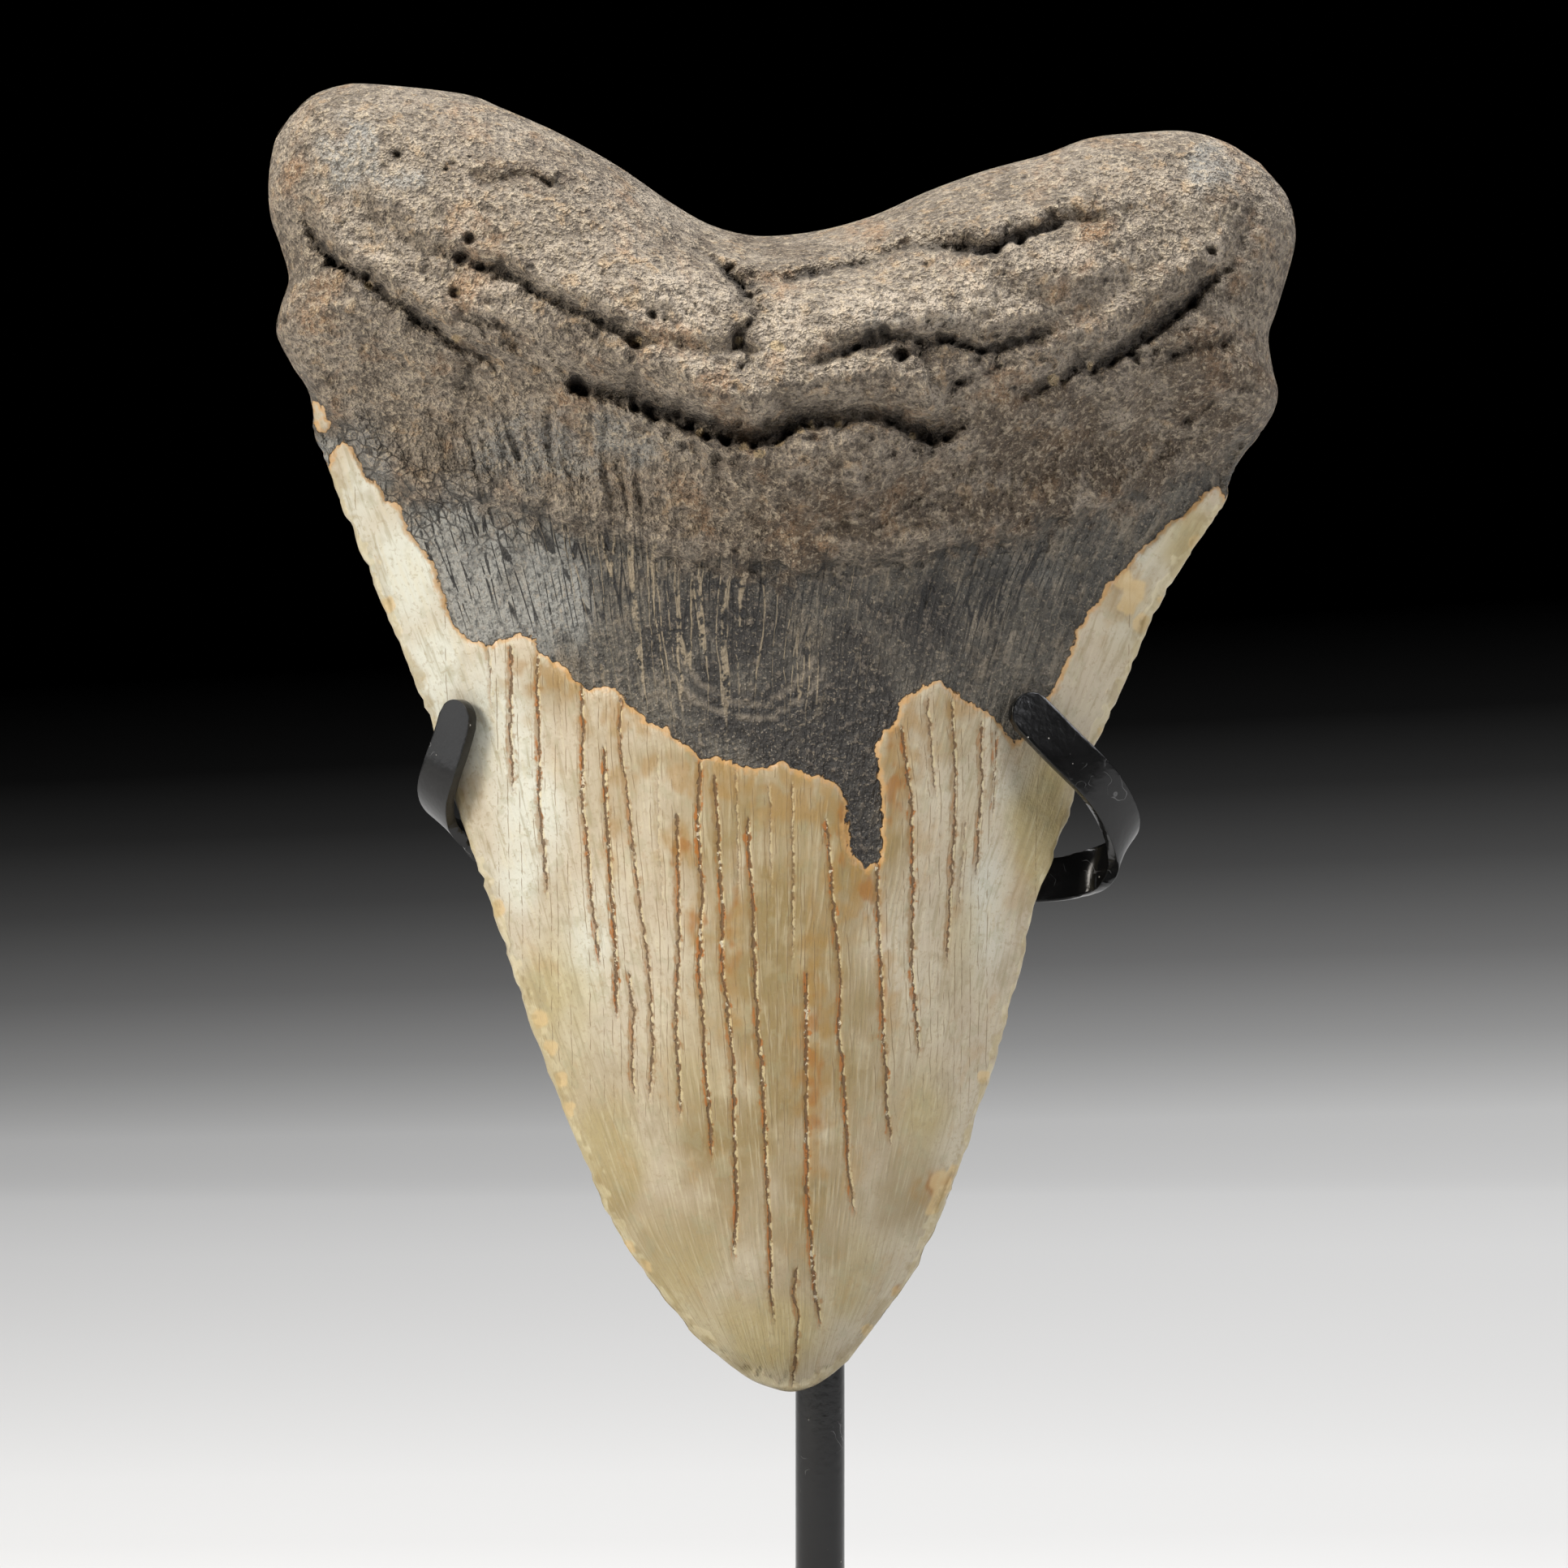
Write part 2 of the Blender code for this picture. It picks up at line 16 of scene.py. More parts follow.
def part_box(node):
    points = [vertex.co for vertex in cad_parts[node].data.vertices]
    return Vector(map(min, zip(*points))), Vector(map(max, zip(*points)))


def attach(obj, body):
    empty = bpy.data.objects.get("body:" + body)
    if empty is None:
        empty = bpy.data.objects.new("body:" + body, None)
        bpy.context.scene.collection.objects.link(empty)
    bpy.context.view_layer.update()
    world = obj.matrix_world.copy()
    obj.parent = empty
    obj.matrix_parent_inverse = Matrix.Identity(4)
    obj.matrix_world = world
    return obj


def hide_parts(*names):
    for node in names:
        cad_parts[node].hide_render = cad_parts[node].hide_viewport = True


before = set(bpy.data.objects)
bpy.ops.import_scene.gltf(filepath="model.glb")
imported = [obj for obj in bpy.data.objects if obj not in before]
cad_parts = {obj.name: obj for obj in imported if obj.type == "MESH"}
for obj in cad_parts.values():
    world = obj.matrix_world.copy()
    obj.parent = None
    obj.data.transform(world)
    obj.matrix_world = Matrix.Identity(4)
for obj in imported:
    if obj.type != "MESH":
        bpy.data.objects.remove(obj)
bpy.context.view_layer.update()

MM = 0.001


# %% [markdown]
# ## The drawing sheet
#
# The lines of the tooth, such as its outline and its cracks, are drawn on a flat sheet that
# stands upright in front of it. A place on the sheet is a pixel of the photograph, x to the right
# and y down. The slant height of the tooth, from its tip to the top of the taller lobe, gives
# the sheet its scale, and the rod and the tip give it its place.

# %% Sheet
SLANT_HEIGHT = 152.4 * MM
SHEET_SIDE = 1932
SHEET_TIP = (975, 1718)
SHEET_LOBE_TOP = (430, 105)
SHEET_ROD_X = 1011
SQUARE = SLANT_HEIGHT / math.dist(SHEET_TIP, SHEET_LOBE_TOP)
TIP_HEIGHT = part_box("tooth")[0][2]


def on_sheet(points):
    """Turn places on the sheet into (x, z) in metres."""
    points = np.asarray(points, dtype=float)
    x = (points[:, 0] - SHEET_ROD_X) * SQUARE
    z = TIP_HEIGHT + (SHEET_TIP[1] - points[:, 1]) * SQUARE
    return np.stack((x, z), axis=1)


print("one square of the sheet is", round(SQUARE / MM, 4), "mm")

# %% [markdown]
# ## Camera
#
# The photograph was taken level and straight on, with a long lens. The camera looks along +Y at
# the middle of the sheet, and its distance makes the sheet fill the picture.

# %% Camera
LENS_MM = 150.0
SENSOR_MM = 36.0
SHEET_PLANE_Y = -10.0 * MM
CLIP_START = 0.01

camera_data = bpy.data.cameras.new("camera")
camera_data.lens = LENS_MM
camera_data.sensor_width = SENSOR_MM
camera_data.clip_start = CLIP_START
camera = bpy.data.objects.new("camera", camera_data)
bpy.context.collection.objects.link(camera)
bpy.context.scene.camera = camera
middle_x, middle_z = on_sheet([(SHEET_SIDE / 2, SHEET_SIDE / 2)])[0]
camera_distance = SHEET_SIDE * SQUARE * LENS_MM / SENSOR_MM
camera.location = (middle_x, SHEET_PLANE_Y - camera_distance, middle_z)
camera.rotation_euler = (math.radians(90.0), 0.0, 0.0)
bpy.context.scene.view_settings.view_transform = "Standard"
print("camera distance in mm:", round(camera_distance / MM))

# %% [markdown]
# ## Tools for finishes
#
# A finish is a network of small nodes. One helper adds a node with its settings and links its
# inputs, and another turns a colour's hex code into the linear numbers that nodes work with.
# The settings that come back often have names.

# %% Node tools
SMOOTH = {"interpolation_type": "SMOOTHSTEP"}
TIMES = {"operation": "MULTIPLY"}
PLUS = {"operation": "ADD"}
MINUS = {"operation": "SUBTRACT"}
UNSIGNED = {"operation": "ABSOLUTE"}
COLOUR = {"data_type": "RGBA"}


def srgb(code):
    """A colour from its hex code, as linear numbers, by the curve of the sRGB standard."""
    parts = [int(code[i:i + 2], 16) / 255 for i in (1, 3, 5)]
    return (*(
        part / 12.92 if part <= 0.04045 else ((part + 0.055) / 1.055) ** 2.4 for part in parts
    ), 1.0)


def add(tree, kind, inputs=(), out=0, **settings):
    """Add a node with its settings, feed its inputs, and give one of its outputs.

    The inputs are in the node's own order, or under their names or numbers. Each is a socket to
    link or a plain value.
    """
    node = tree.nodes.new("ShaderNode" + kind)
    for name, value in settings.items():
        setattr(node, name, value)
    for key, value in inputs.items() if isinstance(inputs, dict) else enumerate(inputs):
        if isinstance(value, bpy.types.NodeSocket):
            tree.links.new(value, node.inputs[key])
        else:
            node.inputs[key].default_value = value
    return node.outputs[out]


print("warm grey is", [round(part, 3) for part in srgb("#6d6359")])

# %% [markdown]
# ## Floor and backdrop
#
# The stand is on a sheet of pale studio paper, which lies flat under it and far behind it curves
# up into a backdrop. Its colour is painted from white to black along its length, a painted
# falloff of light, so the picture fades from a white floor at the bottom to black at the top.

# %% Paper
PAPER_WIDTH = 6.0
PAPER_FRONT_Y = -2.0
PAPER_BEND_Y = 1.3
PAPER_BEND_RADIUS = 0.9
PAPER_LENGTH = 5.6
PAPER_DROP = 0.1 * MM
PAPER_STEPS = 200
# Painted light falloff: colours along the sheet, each at its distance from the front end in
# metres
PAPER_PAINTED_FALLOFF = [
    (2.35, "#d4d4d4"), (2.45, "#dcdcdc"), (2.74, "#e2e2e2"), (3.00, "#e4e4e4"), (3.24, "#e0e0e0"),
    (3.44, "#cacaca"), (3.54, "#9a9a9a"), (3.62, "#707070"), (3.70, "#484848"), (3.76, "#292929"),
    (3.81, "#101010"), (3.88, "#000000"),
]
# The painted falloff comes this much later for each metre to the right
PAPER_SLANT = 0.10


def deselect():
    """Leave no object selected, so that an operator acts on the new one alone."""
    bpy.ops.object.select_all(action="DESELECT")


def read_points(thing):
    """The points of a mesh as rows of x, y and z."""
    points = np.empty(len(thing.data.vertices) * 3)
    thing.data.vertices.foreach_get("co", points)
    return points.reshape(-1, 3)


def keep(thing, name, values):
    """Store one number for each point under a name that materials can read."""
    layer = thing.data.attributes.new(name, "FLOAT", "POINT")
    layer.data.foreach_set("value", np.asarray(values, dtype=np.float32))


def add_grid(name, across, up):
    """Add a flat grid of 1 m by 1 m as an object."""
    deselect()
    bpy.ops.mesh.primitive_grid_add(x_subdivisions=across, y_subdivisions=up, size=1.0)
    grid = bpy.context.object
    grid.name = name
    return grid


paper = add_grid("paper", 2, PAPER_STEPS)
flat = read_points(paper)
run = (flat[:, 1] + 0.5) * PAPER_LENGTH
past_bend = np.maximum(run - (PAPER_BEND_Y - PAPER_FRONT_Y), 0.0)
turn = np.minimum(past_bend / PAPER_BEND_RADIUS, 0.5 * math.pi)
straight = past_bend - turn * PAPER_BEND_RADIUS
run_y = PAPER_FRONT_Y + run - past_bend + PAPER_BEND_RADIUS * np.sin(turn)
run_z = PAPER_BEND_RADIUS * (1.0 - np.cos(turn)) + straight - PAPER_DROP
placed = np.stack((flat[:, 0] * PAPER_WIDTH, run_y, run_z), axis=1)
paper.data.vertices.foreach_set("co", placed.ravel())
keep(paper, "run", run - PAPER_SLANT * placed[:, 0])
bpy.ops.object.shade_smooth()

paper_finish = bpy.data.materials.new("paper_with_painted_light_falloff")
paper_finish.use_nodes = True
tree = paper_finish.node_tree
shader = tree.nodes["Principled BSDF"]
shader.inputs["Roughness"].default_value = 0.9
shader.inputs["Specular IOR Level"].default_value = 0.0
run = add(tree, "Attribute", attribute_name="run", out="Fac")
tone = add(tree, "RGB")
tone.default_value = srgb(PAPER_PAINTED_FALLOFF[0][1])
# The paper's colour darkens from white to black along the sheet: a painted falloff of light
for (start, _), (end, code) in zip(PAPER_PAINTED_FALLOFF, PAPER_PAINTED_FALLOFF[1:]):
    share = add(tree, "MapRange", (run, start, end))
    tone = add(tree, "Mix", {0: share, 6: tone, 7: srgb(code)}, 2, **COLOUR)
tree.links.new(tone, shader.inputs["Base Color"])
paper.data.materials.append(paper_finish)
print("the paper ends at a height of", round(float(run_z.max()), 2), "m")

# %% [markdown]
# ## Lights
#
# Two soft boxes stand in front of the tooth, well to its left and right, so every pit and crack
# casts a small shadow. A weak one straight to the left gives the left arm its sheen, and one
# above brings out the rolls of the root. A lamp far behind lights the rising paper.

# %% Lights
# Name, place, target, side in metres, power in watts, and colour
TARGET = Vector((middle_x, -15.0 * MM, TIP_HEIGHT + 85.0 * MM))
LIGHTS = [
    ("left_box", (-0.62, -0.46, 0.44), TARGET, 0.30, 6.4, "#fff8ee"),
    ("right_box", (0.66, -0.46, 0.44), TARGET, 0.30, 3.1, "#fbfbff"),
    ("left_strip", (-0.85, -0.10, 0.18), TARGET, 0.30, 0.5, "#ffffff"),
    ("top_box", (-0.04, -0.22, 0.80), TARGET, 0.34, 8.5, "#ffffff"),
    ("paper_lamp", (0.6, 1.2, 1.6), Vector((0.6, 1.6, 0.0)), 0.9, 21.0, "#ffffff"),
]
WORLD_COLOUR = "#a8acb2"
WORLD_STRENGTH = 0.015

for name, place, target, size, power, colour in LIGHTS:
    lamp = bpy.data.lights.new(name, "AREA")
    lamp.size = size
    lamp.energy = power
    lamp.color = srgb(colour)[:3]
    light = bpy.data.objects.new(name, lamp)
    bpy.context.collection.objects.link(light)
    light.location = place
    light.rotation_euler = (target - Vector(place)).to_track_quat("-Z", "Y").to_euler()

world = bpy.data.worlds.new("studio")
bpy.context.scene.world = world
world.use_nodes = True
background = world.node_tree.nodes["Background"]
background.inputs["Color"].default_value = srgb(WORLD_COLOUR)
background.inputs["Strength"].default_value = WORLD_STRENGTH
print("lights:", [light[0] for light in LIGHTS])

# %% [markdown]
# ## The outline of the tooth
#
# The outline has four sides: the blunt tip, the left and the right side, and the top of the root
# with its notch. Smooth curves run through a few points on each. Between them a grid is stretched
# like a net, so its columns run down the blade as the cracks do, and its rows run across the
# root as the fissures do.

# %% Outline
CURVE_STEPS = 16
TIP_ARC = [
    (900, 1686), (925, 1703), (950, 1713), (975, 1718), (1000, 1712), (1022, 1699), (1045, 1680),
]
LEFT_SIDE = [
    (900, 1686), (848, 1641), (793, 1570), (748, 1500), (712, 1415), (661, 1290), (614, 1150),
    (564, 1003), (536, 910), (492, 800), (448, 695), (419, 625), (402, 575), (384, 530),
    (380, 484), (360, 450), (342, 412), (346, 382), (357, 346), (347, 305), (335, 270),
    (332, 225), (340, 175), (358, 146),
]
RIGHT_SIDE = [
    (1045, 1680), (1076, 1640), (1128, 1570), (1160, 1500), (1188, 1430), (1223, 1325),
    (1262, 1185), (1277, 1112), (1306, 1044), (1340, 945), (1369, 883), (1406, 800), (1439, 730),
    (1482, 662), (1512, 617), (1522, 580), (1562, 522), (1574, 488), (1567, 455), (1562, 415),
    (1573, 380), (1593, 310), (1594, 275), (1583, 240), (1552, 203),
]
ROOT_TOP = [
    (358, 146), (385, 120), (420, 107), (460, 105), (570, 117), (620, 135), (690, 166),
    (760, 205), (830, 253), (880, 280), (935, 292), (1005, 286), (1075, 267), (1145, 236),
    (1215, 211), (1285, 192), (1340, 172), (1400, 165), (1460, 163), (1510, 177), (1552, 203),
]


def smooth_line(points, shares):
    """Read a smooth curve through the points at the given shares of its length."""
    points = np.asarray(points, dtype=float)
    ends = np.vstack((2 * points[0] - points[1], points, 2 * points[-1] - points[-2]))
    t = np.linspace(0.0, 1.0, CURVE_STEPS, endpoint=False)[:, None]
    runs = []
    for a, b, c, d in zip(ends, ends[1:], ends[2:], ends[3:]):
        square = (2 * a - 5 * b + 4 * c - d) * t ** 2
        cube = (3 * b - a - 3 * c + d) * t ** 3
        runs.append(0.5 * (2 * b + (c - a) * t + square + cube))
    line = np.vstack(runs + [points[-1:]])
    length = np.concatenate(([0.0], np.cumsum(np.linalg.norm(np.diff(line, axis=0), axis=1))))
    return np.stack([np.interp(shares * length[-1], length, part) for part in line.T], axis=1)


def net(u, v):
    """Places (x, z) of the net, from u, the share across, and v, the share up."""
    tip = smooth_line(on_sheet(TIP_ARC), u)
    top = smooth_line(on_sheet(ROOT_TOP), u)
    left = smooth_line(on_sheet(LEFT_SIDE), v)
    right = smooth_line(on_sheet(RIGHT_SIDE), v)
    low_left, low_right = on_sheet([TIP_ARC[0], TIP_ARC[-1]])
    high_left, high_right = on_sheet([ROOT_TOP[0], ROOT_TOP[-1]])
    u = u[:, None]
    v = v[:, None]
    sides = (1 - v) * tip + v * top + (1 - u) * left + u * right
    low = (1 - u) * low_left + u * low_right
    high = (1 - u) * high_left + u * high_right
    return sides - (1 - v) * low - v * high


centre = net(np.array([0.5]), np.array([0.5]))[0]
print("the middle of the net, in mm:", (centre / MM).round(1))

# %% [markdown]
# ## Two flat grids
#
# The front starts as a flat grid that is added as a primitive, and so does the back, with half as
# many squares each way. The rim of the back grid is subdivided once, so that both rims have the
# same points. A grid's own flat coordinates are the shares u and v, drawn closer together near
# the rims and in the root, where the form is finest.

# %% Grids
FRONT_ACROSS = 296
FRONT_UP = 256
SPREAD_STEPS = 4001
RIM_CROWDING = 2.0
RIM_CROWDING_WIDTH = 0.015
ROOT_CROWDING = 1.3
ROOT_CROWDING_START = 0.62
ROOT_CROWDING_FULL = 0.74
RIM_LIMIT = 0.49999


def smooth_steps(value, start, end):
    """Ease from 0 at start to 1 at end."""
    t = np.clip((value - start) / (end - start), 0.0, 1.0)
    return t * t * (3.0 - 2.0 * t)


def spread(shares, density):
    """Move even shares of 0 to 1 closer together where the density is higher."""
    fine = np.linspace(0.0, 1.0, SPREAD_STEPS)
    level = density(fine)
    total = np.concatenate(([0.0], np.cumsum(0.5 * (level[1:] + level[:-1]))))
    return np.interp(shares * total[-1], total, fine)


def rim_density(share):
    """More lines of the grid near both rims."""
    low = np.exp(-share / RIM_CROWDING_WIDTH)
    high = np.exp((share - 1.0) / RIM_CROWDING_WIDTH)
    return 1.0 + RIM_CROWDING * low + RIM_CROWDING * high


def row_density(share):
    """More rows in the root, whose relief is finer than the blade's."""
    in_root = smooth_steps(share, ROOT_CROWDING_START, ROOT_CROWDING_FULL)
    return rim_density(share) + ROOT_CROWDING * in_root


def shares_of(grid):
    """The shares u and v of each point of a flat grid, and which points are on its rim."""
    flat = read_points(grid)
    u = spread(np.clip(flat[:, 0] + 0.5, 0.0, 1.0), rim_density)
    v = spread(np.clip(flat[:, 1] + 0.5, 0.0, 1.0), row_density)
    on_rim = np.max(np.abs(flat[:, :2]), axis=1) > RIM_LIMIT
    return u, v, on_rim


front = add_grid("tooth_front", FRONT_ACROSS, FRONT_UP)
back = add_grid("tooth_back", FRONT_ACROSS // 2, FRONT_UP // 2)
bpy.ops.object.mode_set(mode="EDIT")
bpy.ops.mesh.select_all(action="SELECT")
bpy.ops.mesh.region_to_loop()
bpy.ops.mesh.subdivide(number_cuts=1)
bpy.ops.mesh.select_all(action="SELECT")
bpy.ops.mesh.flip_normals()
bpy.ops.object.mode_set(mode="OBJECT")
u, v, on_rim = shares_of(front)
x, z = net(u, v).T
print("front points:", len(u), "back points:", len(back.data.vertices))

# %% [markdown]
# ## Distances
#
# Most features follow a line on the sheet: a fissure, the edge of the enamel, the rim. What a
# feature does to the surface depends on how far each point is from its line, so a few small
# functions measure that. Cloudy noise makes the drawn lines ragged and the surface uneven.

# %% Distances
RIM_STRIP = 1.2 * MM
# Spacing, layer and detail of the noise in each feature
CLOUDS = {
    "crumbs": (1.1 * MM, 5.0, 2), "breaks": (1.6 * MM, 9.0, 2), "band": (4.0 * MM, 41.0, 3),
    "flakes": (1.4 * MM, 51.0, 3), "wrinkles": (1.2 * MM, 61.0, 3), "ribs": (1.5 * MM, 64.0, 3),
    "furrows": (0.8 * MM, 67.0, 3), "pores": (1.2 * MM, 73.0, 2), "enamel": (6.0 * MM, 17.0, 3),
    "back": (9.0 * MM, 80.0, 3),
}


def bell(value, width):
    """A soft hump that is 1 at 0 and fades within about two widths."""
    return np.exp(-(value / width) ** 2)


def cloudy(x, z, spacing, layer, detail=3):
    """Smooth random values of about -1 to 1, whose lumps are one spacing apart."""
    points = zip(x / spacing, z / spacing)
    return np.array([noise.fractal(Vector((a, b, layer)), 1.0, 2.0, detail) for a, b in points])


def offset_from(line, x, z):
    """Signed distance from a line (above is plus), and the row of its points that is nearest."""
    line = on_sheet(line)
    best = np.full(x.shape, np.inf)
    side = np.zeros(x.shape)
    row = np.zeros(x.shape)
    for i, (a, b) in enumerate(zip(line, line[1:])):
        d = b - a
        t = np.clip(((x - a[0]) * d[0] + (z - a[1]) * d[1]) / (d @ d), 0.0, 1.0)
        away_x = x - a[0] - t * d[0]
        away_z = z - a[1] - t * d[1]
        away = np.hypot(away_x, away_z)
        turn = np.where(d[0] * away_z - d[1] * away_x < 0.0, -1.0, 1.0)
        nearer = away < best
        best = np.where(nearer, away, best)
        side = np.where(nearer, away * turn, side)
        row = np.where(nearer, i + t, row)
    return side, row


def height_over(line, x, z):
    """Signed distance from a line that runs from rim to rim: minus is below it."""
    distance, _ = offset_from(line, x, z)
    places = on_sheet(line)
    crossings = np.zeros(x.shape, dtype=int)
    for a, b in zip(places, places[1:]):
        low, high = sorted((a[0], b[0]))
        if low < high:
            level = a[1] + (x - a[0]) * (b[1] - a[1]) / (b[0] - a[0])
            crossings += (x >= low) & (x < high) & (level > z)
    return np.where(crossings % 2 == 1, -np.abs(distance), np.abs(distance))


def rim_distance(x, z):
    """Distance of each place from the outline of the tooth."""
    lines = (TIP_ARC, LEFT_SIDE, RIGHT_SIDE, ROOT_TOP)
    return np.min([np.abs(offset_from(line, x, z)[0]) for line in lines], axis=0)


def patches(blobs, x, z):
    """Share of 0 to 1 of a list of soft round patches (place, half width, half height, share)."""
    share = np.zeros(x.shape)
    for sheet_x, sheet_y, half_width, half_height, strength in blobs:
        centre = on_sheet([(sheet_x, sheet_y)])[0]
        across = (x - centre[0]) / (half_width * SQUARE)
        upward = (z - centre[1]) / (half_height * SQUARE)
        share = np.maximum(share, strength * np.exp(-across ** 2 - upward ** 2))
    return share


rim = rim_distance(x, z)
inner = smooth_steps(rim, 0.0, RIM_STRIP)
print("deepest point inside the outline, in mm:", round(float(rim.max() / MM), 1))

# %% [markdown]
# ## The plain form of the tooth
#
# The front and the back meet in a ring: the sharp edge of the blade, and the middle of the round
# rim of the root. The back is nearly flat. The front of the blade is a lens that swells towards
# the middle, and the root above it stands out further still, over a deep ledge.

# %% Plain form
BLADE_RING_Y = -7.0 * MM
ROOT_RING_Y = -11.2 * MM
BLADE_RIM = 0.5 * MM
ROOT_RIM = 6.2 * MM
BLADE_RIM_REACH = 0.9 * MM
ROOT_RIM_REACH = 8.5 * MM
BACK_SWELL = 1.5 * MM
ROOT_START = 0.735
ROOT_FULL = 0.835
# How far the front swells out in millimetres at each share of the height
FRONT_SWELL = [
    (0.0, 0), (0.03, 2.9), (0.1, 6.6), (0.2, 9.7), (0.35, 12.8), (0.5, 14.7), (0.62, 15.8),
    (0.72, 16.6), (0.78, 16.4), (0.82, 15.6), (0.87, 16.4), (0.91, 15.6), (0.95, 10.8),
    (0.98, 4.8), (1.0, 0),
]
BLADE_ROUNDNESS = 2.0
ROOT_ROUNDNESS = 1.75
SWELL_POWER = 0.9
TIP_SHARE = 0.2


def through(value, points):
    """Read a smooth curve that passes through the points (station, height)."""
    stations, heights = np.array(points).T
    slopes = np.gradient(heights, stations)
    i = np.clip(np.searchsorted(stations, value) - 1, 0, len(stations) - 2)
    step = stations[i + 1] - stations[i]
    t = np.clip((value - stations[i]) / step, 0.0, 1.0)
    rise = (3 - 2 * t) * t * t
    lead = t * (1 - t) ** 2 * step * slopes[i]
    trail = t * t * (t - 1) * step * slopes[i + 1]
    return heights[i] + (heights[i + 1] - heights[i]) * rise + lead + trail


def plain_form(rim, u, v):
    """Y of the ring, of the front and of the back, from the rim distance and the shares."""
    rooted = smooth_steps(v, ROOT_START, ROOT_FULL)
    ring = BLADE_RING_Y + (ROOT_RING_Y - BLADE_RING_Y) * rooted
    bulge = BLADE_RIM + (ROOT_RIM - BLADE_RIM) * rooted
    reach = BLADE_RIM_REACH + (ROOT_RIM_REACH - BLADE_RIM_REACH) * rooted
    inner = 1.0 - np.clip(rim / reach, 0.0, 1.0)
    rounding = bulge * np.sqrt(1.0 - inner * inner)
    sideways = np.abs(2.0 * u - 1.0)
    roundness = BLADE_ROUNDNESS + (ROOT_ROUNDNESS - BLADE_ROUNDNESS) * rooted
    swell = np.clip(1.0 - sideways ** roundness, 0.0, 1.0) ** SWELL_POWER
    front = ring - rounding - through(v, FRONT_SWELL) * MM * swell
    fall = (1.0 - rooted) * (1.0 - sideways ** 2) * smooth_steps(v, 0.0, TIP_SHARE)
    return ring, front, ring + rounding + BACK_SWELL * fall


ring, plain_front, _ = plain_form(rim, u, v)
print("the front reaches Y in mm:", round(float(plain_front.min() / MM), 1))

# %% [markdown]
# ## Fissures of the root
#
# The root grew like bone. Long fissures run along it from side to side, each under a roll that
# curves back into it, while the lower edge is torn and sharp. Every fissure is a line on the
# sheet along its lower edge, and a third number on each point says how open it is there.

